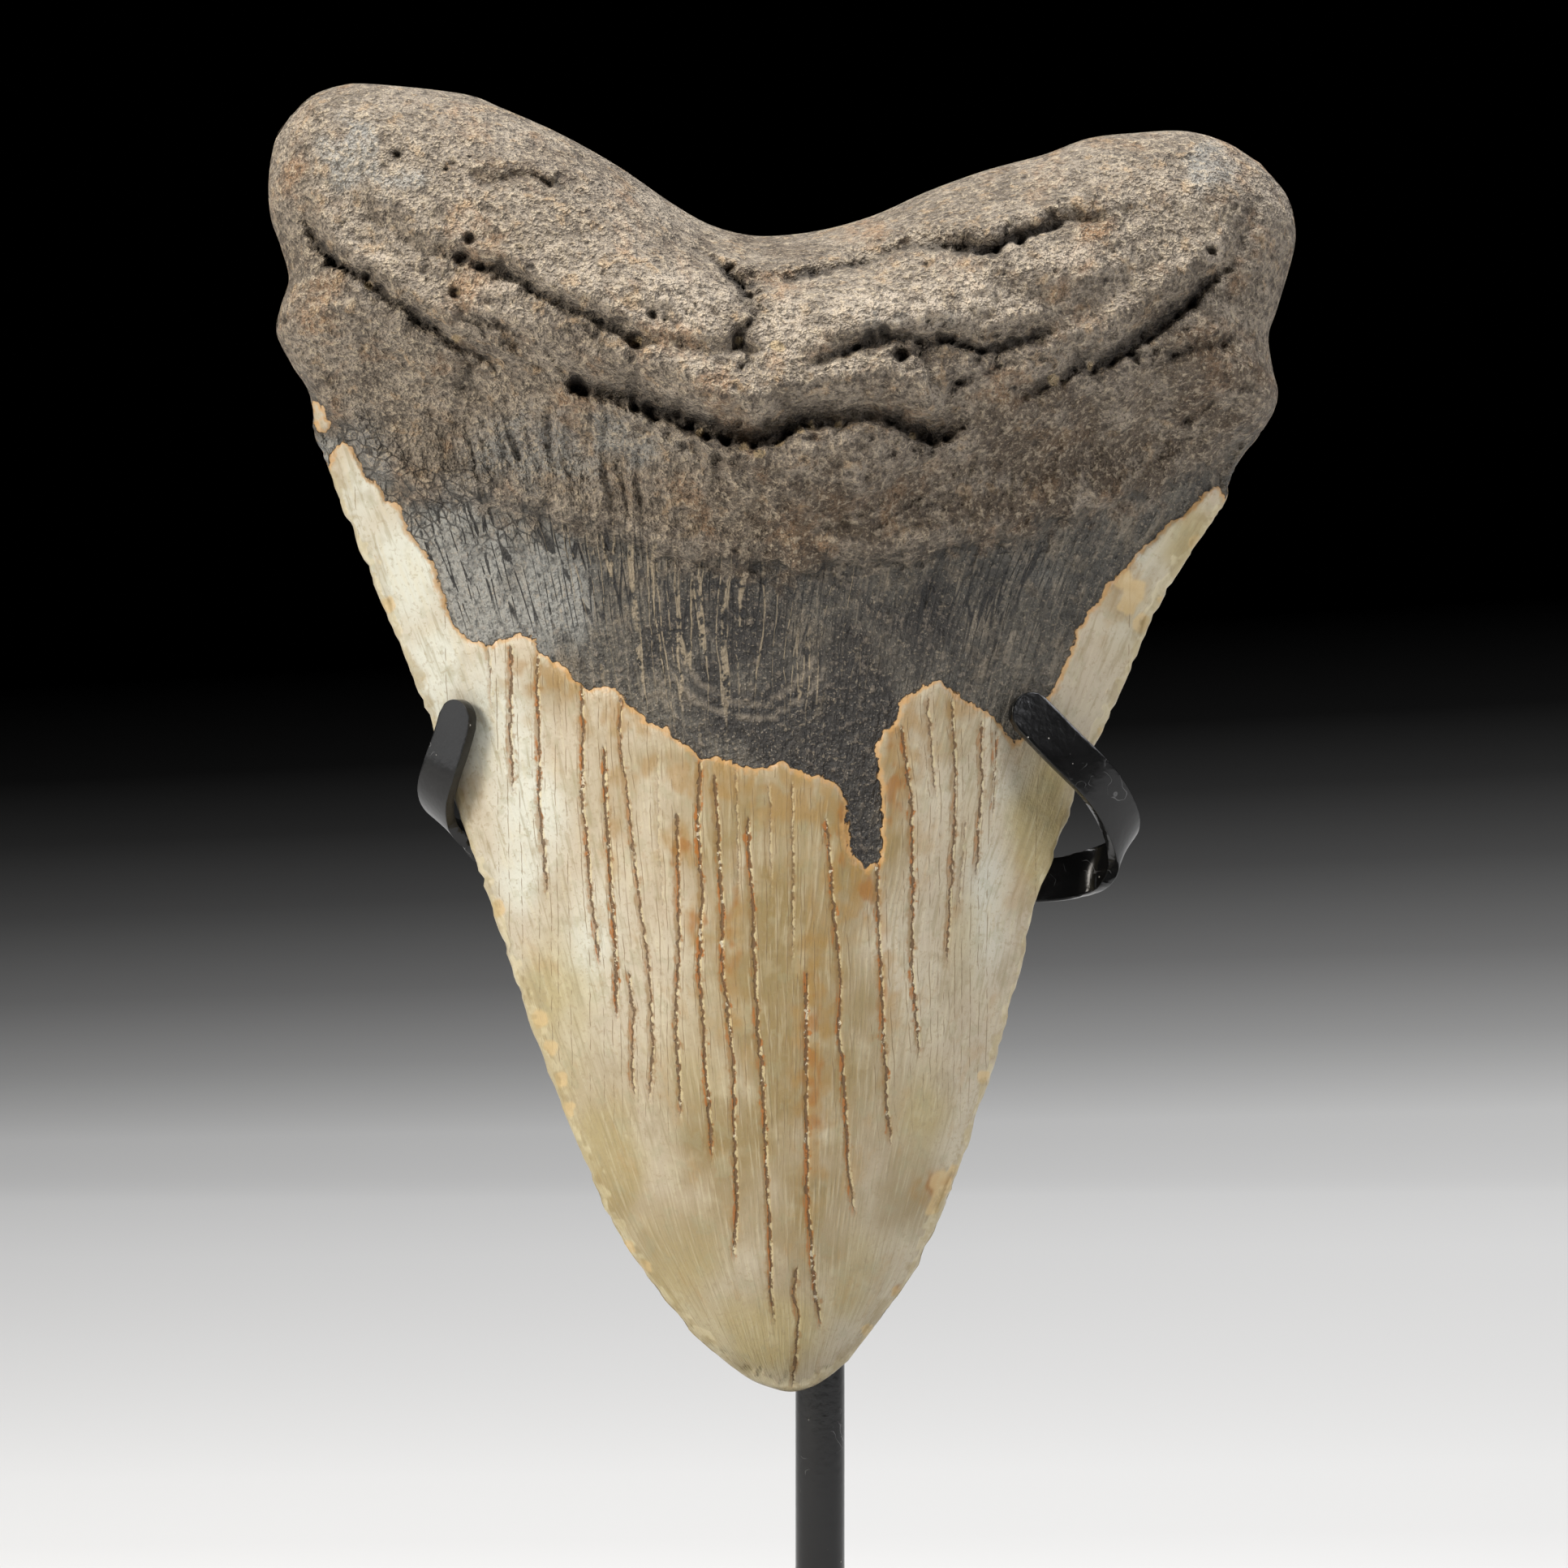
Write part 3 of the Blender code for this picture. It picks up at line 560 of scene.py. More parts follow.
# %% Fissures
# Name, then in millimetres the reach above and below the line, the depth and the roll's height
FISSURES = [
    ("left long", 1.0, 0.35, 2.6, 0.9, [
        (366, 225, 0), (375, 261, 0.15), (389, 292, 0.5), (405, 315, 1), (425, 337, 1),
        (445, 350, 0.6), (458, 357, 0.7), (475, 372, 1), (492, 383, 0.5), (508, 392, 0.7),
        (527, 408, 1), (547, 420, 0.7), (566, 432, 0.7), (580, 441, 0.7), (607, 456, 0.6),
        (625, 470, 0.3), (640, 482, 0)]),
    ("left low", 0.8, 0.35, 1.4, 0.4, [
        (565, 400, 0), (585, 409, 0.8), (607, 412, 0.5), (629, 421, 1), (650, 428, 0.3),
        (668, 440, 0)]),
    ("left link", 0.6, 0.4, 1.3, 0.3, [
        (620, 440, 0), (640, 440, 0.5), (655, 448, 0.4), (675, 463, 0.6), (690, 476, 0.3),
        (702, 486, 0.2)]),
    ("main ledge", 2.3, 0.4, 5.8, 1.7, [
        (700, 478, 0.2), (708, 488, 0.8), (720, 494, 0.9), (735, 497, 0.6), (751, 500, 0.7),
        (784, 509, 0.75), (817, 523, 0.85), (845, 537, 1), (872, 549, 1), (900, 556, 1),
        (928, 560, 1), (955, 555, 1), (981, 541, 0.9), (1017, 535, 0.7), (1052, 532, 0.65),
        (1077, 532, 0.65), (1103, 541, 0.8), (1123, 550, 0.9), (1148, 554, 0.85),
        (1169, 546, 0.6), (1184, 531, 0.3), (1196, 518, 0)]),
    ("left middle", 0.9, 0.35, 2.0, 0.7, [
        (435, 268, 0), (466, 281, 0.4), (485, 290, 0.2), (502, 303, 0.35), (522, 322, 0.3),
        (545, 329, 0.3), (577, 333, 0.7), (600, 346, 0.8), (629, 352, 1), (651, 368, 1),
        (674, 382, 0.8), (707, 396, 0.8), (729, 403, 0.9), (751, 420, 1), (770, 431, 0.9),
        (790, 443, 0.8), (820, 443, 0.3), (850, 444, 0.4), (878, 450, 0.35), (906, 447, 0.5),
        (915, 445, 0.2)]),
    ("right middle", 1.0, 0.35, 2.0, 0.7, [
        (972, 485, 0), (986, 476, 0.2), (1012, 463, 0.5), (1037, 448, 0.8), (1057, 442, 0.9),
        (1077, 440, 0.8), (1103, 437, 0.7), (1130, 436, 0.7), (1169, 436, 0.9), (1187, 438, 0.8),
        (1204, 447, 1), (1230, 440, 0.9), (1255, 431, 0.9), (1280, 425, 0.6), (1301, 421, 0.3),
        (1325, 420, 0)]),
    ("right pit line", 0.7, 0.35, 1.2, 0.2, [
        (1090, 455, 0), (1105, 459, 0.8), (1128, 451, 0.7), (1143, 446, 0.6), (1160, 443, 0.2)]),
    ("right top", 1.1, 0.4, 2.6, 0.8, [
        (895, 352, 0.3), (902, 360, 0.9), (925, 368, 0.7), (956, 367, 0.4), (991, 356, 0.8),
        (1022, 350, 0.6), (1047, 347, 0.7), (1072, 335, 0.6), (1098, 322, 0.6), (1123, 317, 0.6),
        (1153, 319, 0.8), (1184, 323, 1), (1204, 328, 1), (1224, 322, 1), (1250, 309, 1),
        (1275, 300, 0.9), (1300, 292, 0.7), (1326, 287, 0.5), (1356, 283, 0.3), (1392, 283, 0.2),
        (1420, 272, 0)]),
    ("right long", 1.5, 0.35, 3.0, 1.0, [
        (1551, 245, 0), (1541, 270, 0.2), (1530, 296, 0.25), (1518, 325, 0.3), (1505, 345, 0.5),
        (1488, 357, 0.7), (1473, 372, 0.8), (1453, 391, 1), (1427, 411, 1), (1402, 427, 1),
        (1377, 444, 1), (1359, 456, 0.9), (1341, 465, 0.8), (1321, 463, 0.8), (1306, 477, 0.6),
        (1290, 484, 0.7), (1275, 489, 0.7), (1255, 501, 0.4), (1240, 508, 0)]),
    ("right branch", 0.7, 0.4, 1.8, 0.5, [
        (1380, 452, 0), (1394, 450, 0.6), (1417, 446, 0.4), (1432, 446, 0.9), (1458, 441, 0.6),
        (1483, 435, 0.5), (1503, 428, 0.6), (1524, 420, 0.2), (1540, 414, 0)]),
    ("right low", 0.6, 0.35, 0.9, 0.3, [
        (1450, 530, 0), (1458, 524, 1), (1473, 507, 0.5), (1493, 493, 0.4), (1519, 484, 0.5),
        (1544, 473, 0.6), (1556, 468, 0)]),
    ("right fine", 0.5, 0.4, 1.0, 0.2, [
        (1159, 507, 0), (1176, 487, 0.8), (1199, 480, 0.4), (1225, 466, 0.6), (1255, 461, 0.4),
        (1285, 453, 0.5), (1310, 444, 0)]),
    ("left top", 0.7, 0.4, 1.5, 0.5, [
        (548, 214, 0), (555, 221, 0.5), (574, 226, 0.3), (607, 238, 0.4), (629, 240, 0.6),
        (663, 236, 0.5), (685, 242, 1), (707, 250, 0.6), (729, 254, 0.2), (745, 262, 0)]),
    ("middle cleft", 0.6, 0.6, 1.4, 0.1, [
        (830, 310, 0), (839, 315, 0.4), (864, 323, 0.6), (884, 337, 0.8), (897, 353, 1),
        (908, 366, 1), (922, 383, 0.9), (928, 405, 0.8), (920, 421, 0.9), (915, 436, 0.8),
        (925, 455, 1), (919, 471, 0.7), (914, 485, 0)]),
    ("left groove", 0.8, 0.8, 0.9, 0.0, [
        (586, 452, 0), (585, 465, 1), (583, 485, 0.8), (582, 502, 0),
    ]),
]
ROLL_OFFSET = 2.1
ROLL_SPREAD = 1.3
ROLL_SHARE = 1.5
CUT_SHARE = 0.9
CRUMBLED_LIMITS = (0.12, 0.38)
CRUMBLED_MIDDLE = 0.3
CRUMBLED_WIDTH = 1.1
CRUMBLED_DEPTH = 1.0
CRUMBLED_DARKNESS = 0.75
SHALLOW_DARKNESS = 0.45
DARKER_PER_MM = 0.25
RAGGED = 0.35
# Spacing and reach of the tears in millimetres, and the layer of noise
TORN = [(5.0, 0.45, 21.0), (1.5, 0.24, 27.0)]


def torn(x, z, layer):
    """Move places a little at random, so that drawn lines come out torn rather than smooth."""
    for spacing, reach, step in TORN:
        x = x + reach * MM * cloudy(x, z, spacing * MM, layer + step)
        z = z + reach * MM * cloudy(x, z, spacing * MM, layer + step + 3.0)
    return x, z


torn_x, torn_z = torn(x, z, 0.0)
crumbs = cloudy(x, z, *CLOUDS["crumbs"])
broken = smooth_steps(cloudy(x, z, *CLOUDS["breaks"]), *CRUMBLED_LIMITS)
inwards = np.zeros(x.shape)
hollow = np.zeros(x.shape)
for _, above, below, depth, roll, line in FISSURES:
    line = line if line[0][0] <= line[-1][0] else line[::-1]
    side, row = offset_from([point[:2] for point in line], torn_x, torn_z)
    side = side / MM + RAGGED * crumbs
    openness = np.interp(row, np.arange(len(line)), [point[2] for point in line])
    cut = np.where(side > 0.0, bell(side, above), bell(side, below))
    swell = ROLL_SHARE * roll * bell(side - ROLL_OFFSET * above, ROLL_SPREAD * above)
    crumbled = broken * bell(side - CRUMBLED_MIDDLE, CRUMBLED_WIDTH + above)
    sunk = depth * cut * (CUT_SHARE + RAGGED * crumbs) + CRUMBLED_DEPTH * crumbled
    inwards += openness * (sunk - swell) * MM
    # Fissures are darkened in colour, more the deeper they are: dark dirt and painted shade
    # together
    darkness = cut * min(1.0, SHALLOW_DARKNESS + DARKER_PER_MM * depth)
    darkness = np.maximum(darkness, CRUMBLED_DARKNESS * crumbled)
    hollow = np.maximum(hollow, openness * darkness)
print("deepest fissure, in mm:", round(float(inwards.max() / MM), 1))

# %% [markdown]
# ## Pits, crumbs and lumps
#
# Vessels left round pits in the root, crumbs of the seabed still sit in some of its hollows, and
# broad lumps give each part its own swelling. A lump with a minus sign is a hollow.

# %% Pits, crumbs and lumps
# A spot is full up to one share of its radius and fades out at the other
SPOT_CORE = 0.5
SPOT_END = 1.3
# Pits' darkness, dirt and painted shade together, and how far crumbs fill a hollow and lighten it
PIT_DARKNESS = 0.9
CRUMB_SHARE = 0.5
CRUMB_SEAT = 1.6
CRUMB_PALENESS = 0.8
# Place and radius on the sheet, and depth or height in millimetres
PITS = [
    (499, 204, 5, 1), (586, 208, 4, 0.7), (588, 310, 8, 1.5), (577, 331, 9, 1.2),
    (570, 375, 8, 1.2), (790, 435, 10, 1.7), (809, 406, 6, 1.2), (910, 435, 9, 1.4),
    (1105, 454, 10, 1.8), (1068, 430, 9, 0.9), (1085, 425, 9, 0.7), (1483, 320, 6, 1.3),
    (1136, 343, 4, 0.7), (715, 480, 9, 1.6), (460, 352, 6, 1), (1255, 203, 4, 0.6),
    (355, 400, 5, 0.6), (1176, 485, 5, 0.8), (664, 346, 5, 0.6), (740, 430, 5, 0.7),
    (842, 381, 3, 0.6), (860, 395, 3, 0.5), (870, 372, 3, 0.5), (824, 412, 3, 0.5),
    (849, 404, 3, 0.5), (881, 388, 3, 0.4), (1040, 470, 3, 0.5), (1230, 355, 3, 0.5),
    (640, 250, 3, 0.4), (1352, 360, 3, 0.4), (470, 420, 3, 0.4), (1180, 370, 3, 0.4),
    (1240, 490, 4, 0.6), (1484, 340, 4, 0.5),
]
CRUMBS = [
    (463, 364, 6, 0.8), (568, 425, 6, 0.8), (1290, 480, 9, 1.3), (910, 436, 6, 1.2),
    (920, 562, 8, 1.5), (938, 572, 8, 1.2), (985, 545, 7, 1.6), (1000, 538, 6, 1.2),
    (1030, 534, 5, 1), (958, 444, 9, 0.3), (1335, 462, 5, 1), (865, 545, 6, 1),
    (1120, 548, 6, 0.8), (576, 376, 5, 0.9), (790, 437, 6, 0.9), (960, 556, 7, 1),
]
# Place, half width and half height on the sheet, and height in millimetres
LUMPS = [
    (1020, 628, 175, 58, 2.4), (820, 372, 120, 38, 1.9), (1090, 395, 150, 28, 1.8),
    (1280, 352, 170, 28, 1.3), (470, 180, 90, 55, 0.9), (1470, 225, 80, 45, 0.9),
    (470, 470, 90, 50, 1), (1335, 512, 22, 45, -1.2), (1412, 496, 22, 45, -1.2),
    (1372, 505, 18, 45, 0.8), (640, 470, 100, 40, -0.8), (700, 560, 150, 45, -0.5),
    (1262, 965, 34, 62, -0.8), (560, 600, 120, 26, 0.5), (700, 640, 70, 22, 0.5),
    (1290, 610, 90, 20, 0.5), (1300, 560, 120, 40, 0.6), (1180, 470, 110, 18, 0.7),
    (1000, 430, 60, 25, 0.7), (912, 578, 14, 10, 0.6), (940, 590, 17, 12, 0.6),
    (988, 568, 18, 14, 0.8), (1038, 566, 24, 14, 0.6), (1080, 575, 20, 12, 0.5),
    (1450, 215, 26, 20, -0.5), (1500, 200, 22, 30, -0.4), (440, 215, 24, 22, -0.5),
    (470, 240, 20, 14, 0.3), (900, 330, 24, 12, 0.5), (612, 372, 40, 10, 0.4),
    (690, 415, 40, 10, 0.4), (1345, 330, 60, 30, 0.4),
]


def dents(spots, x, z):
    """Share of 0 to 1 and depth in millimetres of a list of small round spots."""
    share = np.zeros(x.shape)
    depth = np.zeros(x.shape)
    for sheet_x, sheet_y, radius, spot_depth in spots:
        centre = on_sheet([(sheet_x, sheet_y)])[0]
        away = np.hypot(x - centre[0], z - centre[1]) / (radius * SQUARE)
        spot = smooth_steps(-away, -SPOT_END, -SPOT_CORE)
        share = np.maximum(share, spot)
        depth = np.maximum(depth, spot_depth * spot)
    return share, depth


pit_share, pit_depth = dents(PITS, x, z)
crumb_share, crumb_height = dents(CRUMBS, torn_x, torn_z)
crumb_height = CRUMB_SHARE * crumb_height * np.clip(CRUMB_SEAT * hollow, 0.0, 1.0)
inwards += (pit_depth - crumb_height) * MM
for *ellipse, height in LUMPS:
    inwards -= height * MM * patches([(*ellipse, 1.0)], x, z)
# Pits darken the same mask, dirt and painted shade together, and crumbs lighten it
hollow = np.maximum(hollow, PIT_DARKNESS * pit_share) * (1.0 - CRUMB_PALENESS * crumb_share)
print("pits:", len(PITS), "crumbs:", len(CRUMBS), "lumps:", len(LUMPS))

# %% [markdown]
# ## The dark band and the enamel
#
# The blade is coated with hard enamel. On this side it ends at a ragged ledge, and above that
# lies a dark band of the softer core. Where a thin flake of enamel is left on the shoulder, it is
# added as an island.

# %% Band and enamel
ENAMEL_TOP = [
    (370, 590), (401, 572), (404, 560), (412, 549), (424, 546), (436, 552), (452, 585),
    (470, 602), (478, 618), (492, 624), (500, 642), (516, 664), (530, 692), (540, 712),
    (553, 748), (568, 772), (574, 784), (590, 789), (603, 797), (618, 788), (645, 783),
    (662, 790), (670, 808), (686, 815), (700, 822), (714, 838), (725, 848), (762, 851),
    (780, 868), (797, 886), (825, 899), (840, 912), (868, 935), (897, 935), (918, 944),
    (930, 948), (946, 944), (960, 937), (976, 949), (1012, 958), (1028, 962), (1040, 974),
    (1044, 995), (1046, 1024), (1048, 1050), (1054, 1063), (1066, 1068), (1078, 1061),
    (1083, 1035), (1082, 990), (1077, 940), (1075, 915), (1085, 902), (1101, 896), (1107, 884),
    (1108, 868), (1122, 854), (1143, 842), (1156, 840), (1171, 851), (1183, 862), (1210, 873),
    (1224, 884), (1237, 900), (1247, 918), (1270, 900), (1285, 862), (1300, 838), (1308, 814),
    (1318, 796), (1330, 770), (1350, 740), (1365, 716), (1383, 698), (1402, 680), (1422, 664),
    (1440, 650), (1458, 634), (1478, 614), (1494, 598), (1504, 600), (1512, 612), (1545, 625),
]
ENAMEL_ISLANDS = [(391, 512, 13), (397, 524, 11), (388, 500, 8)]
ENAMEL_STEP = 0.5 * MM
ENAMEL_SLOPE = 0.5 * MM
BAND_TOP = [
    (370, 470), (390, 485), (430, 540), (470, 590), (520, 618), (563, 612), (612, 619),
    (679, 637), (746, 654), (791, 677), (900, 695), (1000, 700), (1100, 690), (1250, 660),
    (1400, 612), (1500, 560), (1560, 520), (1600, 500),
]
BAND_RAGGED = 0.9 * MM
BAND_STEP = 0.9 * MM
BAND_SLOPE = 0.9 * MM
BAND_FADE = 3.0 * MM
BAND_RIDGE = 0.9 * MM
RIDGE_AWAY = 1.5 * MM
RIDGE_WIDTH = 1.2 * MM
UNDERCUT_DEPTH = 0.5 * MM
UNDERCUT = [(1000, 700, 190, 60, 1.0), (600, 625, 150, 40, 0.8), (1330, 640, 110, 40, 0.5)]

enamel = -height_over(ENAMEL_TOP, torn_x, torn_z)
for sheet_x, sheet_y, radius in ENAMEL_ISLANDS:
    centre = on_sheet([(sheet_x, sheet_y)])[0]
    away = np.hypot(torn_x - centre[0], torn_z - centre[1])
    enamel = np.maximum(enamel, radius * SQUARE - away)
band = BAND_RAGGED * cloudy(x, z, *CLOUDS["band"]) - height_over(BAND_TOP, torn_x, torn_z)
step = BAND_STEP + UNDERCUT_DEPTH * patches(UNDERCUT, x, z)
inwards += step * smooth_steps(band, 0.0, BAND_SLOPE)
inwards -= BAND_RIDGE * bell(band + RIDGE_AWAY, RIDGE_WIDTH)
coated = smooth_steps(enamel, 0.0, ENAMEL_SLOPE)
inwards -= ENAMEL_STEP * coated
banded = smooth_steps(band, 0.0, BAND_FADE) * (1.0 - coated)
print("share of the front under enamel:", round(float(np.mean(coated)), 2))

# %% [markdown]
# ## Cracks in the enamel
#
# Long cracks run down the enamel. Each has a strength, a share of rust that seeped from it, and
# the heights between which it is open. Each point learns its place between two cracks, so the
# paint can draw them as thin as they are, even though the grid is coarser than a crack.

# %% Cracks
# Strength, share of rust, where it starts and ends down the sheet, and the line
CRACKS = [
    (0.6, 0.7, 800, 870, [(605, 800), (608, 870)]),
    (0.9, 0.5, 800, 975, [(631, 800), (632, 846), (629, 905), (634, 975)]),
    (0.9, 0.7, 811, 1102, [(666, 811), (665, 923), (669, 1028), (676, 1102)]),
    (0.4, 0.2, 839, 905, [(692, 839), (693, 905)]),
    (0.9, 0.8, 849, 1186, [(720, 849), (721, 923), (720, 982), (729, 1081), (740, 1186)]),
    (1.0, 0.9, 926, 1249, [(747, 926), (752, 1046), (759, 1151), (762, 1249)]),
    (0.8, 0.6, 1196, 1352, [
        (757, 863), (765, 1046), (776, 1196), (782, 1245), (779, 1312), (782, 1352),
    ]),
    (0.8, 0.5, 863, 1350, [
        (768, 863), (766, 916), (778, 996), (782, 1046), (794, 1133), (799, 1168), (806, 1291),
        (801, 1350)]),
    (0.4, 0.2, 923, 1133, [(812, 923), (813, 1046), (820, 1133)]),
    (0.9, 0.6, 1004, 1370, [(836, 1004), (838, 1151), (834, 1256), (841, 1347), (839, 1370)]),
    (1.0, 0.9, 940, 1423, [
        (864, 940), (862, 1011), (866, 1098), (863, 1200), (871, 1312), (877, 1423),
    ]),
    (1.0, 0.9, 958, 1542, [
        (882, 958), (889, 1081), (892, 1200), (904, 1307), (904, 1379), (908, 1446),
        (905, 1542)]),
    (0.5, 0.3, 951, 1098, [(908, 951), (912, 1098), (914, 1500)]),
    (1.0, 0.8, 1011, 1622, [
        (922, 1011), (929, 1133), (933, 1258), (939, 1312), (942, 1379), (946, 1446), (951, 1583),
        (953, 1622)]),
    (0.5, 0.2, 968, 1098, [(948, 968), (950, 1098), (957, 1583), (960, 1650)]),
    (0.6, 0.4, 968, 1186, [(976, 968), (976, 1186), (968, 1500), (966, 1700)]),
    (0.9, 0.5, 1561, 1711, [(984, 1200), (981, 1561), (977, 1593), (984, 1624), (977, 1711)]),
    (1.0, 1.0, 1200, 1631, [
        (993, 1200), (993, 1379), (995, 1423), (994, 1463), (999, 1536), (1002, 1577),
        (1011, 1631)]),
    (0.9, 0.8, 1011, 1490, [
        (1016, 1011), (1025, 1098), (1035, 1204), (1033, 1267), (1040, 1356), (1042, 1401),
        (1051, 1490)]),
    (0.9, 1.0, 1063, 1405, [
        (1079, 1063), (1082, 1151), (1084, 1200), (1091, 1347), (1096, 1405),
    ]),
    (0.9, 1.0, 898, 1298, [(1109, 898), (1121, 982), (1123, 1116), (1121, 1186), (1132, 1298)]),
    (0.7, 0.3, 863, 982, [(1140, 863), (1151, 982)]),
    (0.8, 0.5, 867, 1186, [(1170, 867), (1174, 940), (1172, 1046), (1165, 1186)]),
    (0.5, 0.4, 1011, 1133, [(1186, 1011), (1179, 1133)]),
    (0.8, 0.5, 891, 1081, [(1207, 891), (1207, 975), (1200, 1081)]),
    (0.7, 0.8, 905, 1011, [(1225, 905), (1221, 1011)]),
]
CRACK_DEPTH = 0.22 * MM
CRACK_WIDTH = 0.28 * MM
CRACK_FADE = 26 * SQUARE
CRACK_START_SHARE = 0.3
BEYOND = 20.0 * MM
LADDER_STEPS = 600
# Reach, spacing and layer of the noise that makes the cracks wander
WANDER = [(0.10, 1.3, 63.0), (0.16, 6.0, 66.0)]


def follow_cracks(x, z):
    """Where each point lies between the cracks.

    The lane is 3 on the third crack and 3.5 half way to the fourth. The gap is how far apart the
    two neighbours are in millimetres. Strength and rust belong to the nearest crack.
    """
    ladder = np.linspace(z.min(), z.max(), LADDER_STEPS)
    step = np.clip(np.searchsorted(ladder, z) - 1, 0, len(ladder) - 2)
    lines = [on_sheet(crack[-1][::-1]) for crack in CRACKS]
    reach = np.array([np.interp(ladder, line[:, 1], line[:, 0]) for line in lines])
    reach = np.vstack((reach[:1] - BEYOND, reach, reach[-1:] + BEYOND))
    share = (z - ladder[step]) / (ladder[1] - ladder[0])
    across = reach[:, step] * (1 - share) + reach[:, step + 1] * share
    before = np.clip(np.sum(across <= x, axis=0) - 1, 0, len(reach) - 2)
    index = np.arange(len(x))
    gap = across[before + 1, index] - across[before, index]
    lane = before + np.clip((x - across[before, index]) / gap, 0.0, 1.0)
    nearest = np.clip(np.rint(lane).astype(int), 1, len(CRACKS)) - 1
    strength, rust, start, end = np.array([crack[:4] for crack in CRACKS])[nearest].T
    top = TIP_HEIGHT + (SHEET_TIP[1] - start) * SQUARE
    foot = TIP_HEIGHT + (SHEET_TIP[1] - end) * SQUARE
    opened = smooth_steps(z, foot - CRACK_FADE, foot + CRACK_FADE)
    closed = smooth_steps(z, top, top + CRACK_START_SHARE * CRACK_FADE)
    opened = strength * opened * (1.0 - closed)
    return lane, gap / MM, opened, rust


wander = sum(
    reach * MM * cloudy(x, z, spacing * MM, layer, 2) for reach, spacing, layer in WANDER
)
lane, gap, opened, rust = follow_cracks(x + wander, z)
crack_distance = np.minimum(lane % 1.0, 1.0 - lane % 1.0) * gap * MM
inwards += coated * opened * CRACK_DEPTH * bell(crack_distance, CRACK_WIDTH)
print("cracks:", len(CRACKS))

# %% [markdown]
# ## Chips and flakes of the cutting edges
#
# Both edges of the blade are worn. Named chips are scars that the eye finds at once. Between
# them small flakes have come off all along, and more of them where a patch is given.

# %% Chips and flakes
CHIPS = [
    (474, 741, 12, 0.9), (1383, 712, 15, 0.4), (1398, 730, 17, 0.5), (1386, 746, 13, 0.4),
    (1407, 768, 14, 0.6), (1160, 1458, 19, 0.6), (1155, 1474, 12, 0.5), (1150, 1494, 10, 0.5),
    (1107, 1592, 8, 0.5), (772, 1539, 9, 0.6), (1070, 1640, 10, 0.6), (690, 1330, 11, 0.4),
    (794, 1560, 9, 0.4), (1478, 668, 11, 0.4), (1436, 742, 9, 0.4), (1396, 846, 10, 0.4),
    (1362, 905, 11, 0.4), (700, 1365, 10, 0.4), (664, 1255, 14, 0.4), (678, 1290, 12, 0.4),
    (612, 1120, 12, 0.4), (1215, 1330, 9, 0.4), (1178, 1440, 8, 0.4), (1248, 1250, 8, 0.3),
]
FLAKY = [
    (664, 1270, 60, 130, 1), (740, 1470, 70, 110, 0.8), (600, 1100, 40, 90, 0.7),
    (1150, 1500, 60, 70, 0.7), (1440, 740, 60, 120, 0.8), (960, 1700, 120, 40, 0.8),
    (860, 1640, 60, 60, 0.5), (1220, 1320, 40, 110, 0.4), (470, 720, 50, 90, 0.6),
    (1360, 890, 50, 80, 0.7),
]
FLAKE_DEPTH = 0.28 * MM
FLAKE_REACH = 0.5
FLAKY_REACH = 1.7
FLAKE_BIAS = 0.8
FLAKE_LIMITS = (0.1, 0.35)
EDGE_START = 0.04
BLADE_END = ROOT_START + 0.05
EDGE_NARROWNESS = 60.0
# Spacing and reach of the bites in millimetres, and the layer of noise
BITES = [(3.2, 0.42, 55.0), (1.1, 0.42, 58.0)]

scar, scar_depth = dents(CHIPS, torn_x, torn_z)
flaky = patches(FLAKY, x, z)
flake_reach = (FLAKE_REACH + FLAKY_REACH * flaky) * MM
flake = cloudy(x, z, *CLOUDS["flakes"]) + FLAKE_BIAS - rim / flake_reach
flake = smooth_steps(flake, *FLAKE_LIMITS)
flake = flake * (1.0 - smooth_steps(v, ROOT_START, BLADE_END))
inwards += np.maximum(scar_depth * MM, FLAKE_DEPTH * flake * coated)


def bite_edges(x, z, u, v):
    """Pull the blade's cutting edges in a little at random, as use and time chipped them."""
    on_edge = bell((0.5 - np.abs(u - 0.5)) * EDGE_NARROWNESS, 1.0)
    on_edge *= smooth_steps(v, 0.0, EDGE_START) * (1.0 - smooth_steps(v, ROOT_START, ROOT_FULL))
    bite = sum(
        reach * np.clip(cloudy(x, z, spacing * MM, layer, 2), 0.0, 1.0)
        for spacing, reach, layer in BITES
    )
    return x + np.sign(0.5 - u) * bite * MM * on_edge


print("chips:", len(CHIPS))

# %% [markdown]
# ## Zones of colour
#
# Minerals from the ground stained the tooth for millions of years, so its colours lie in broad
# patches with soft, cloudy borders. Each zone is a list of places and sizes on the sheet. The
# materials read the zones, and the distances measured above, as numbers kept on each point.

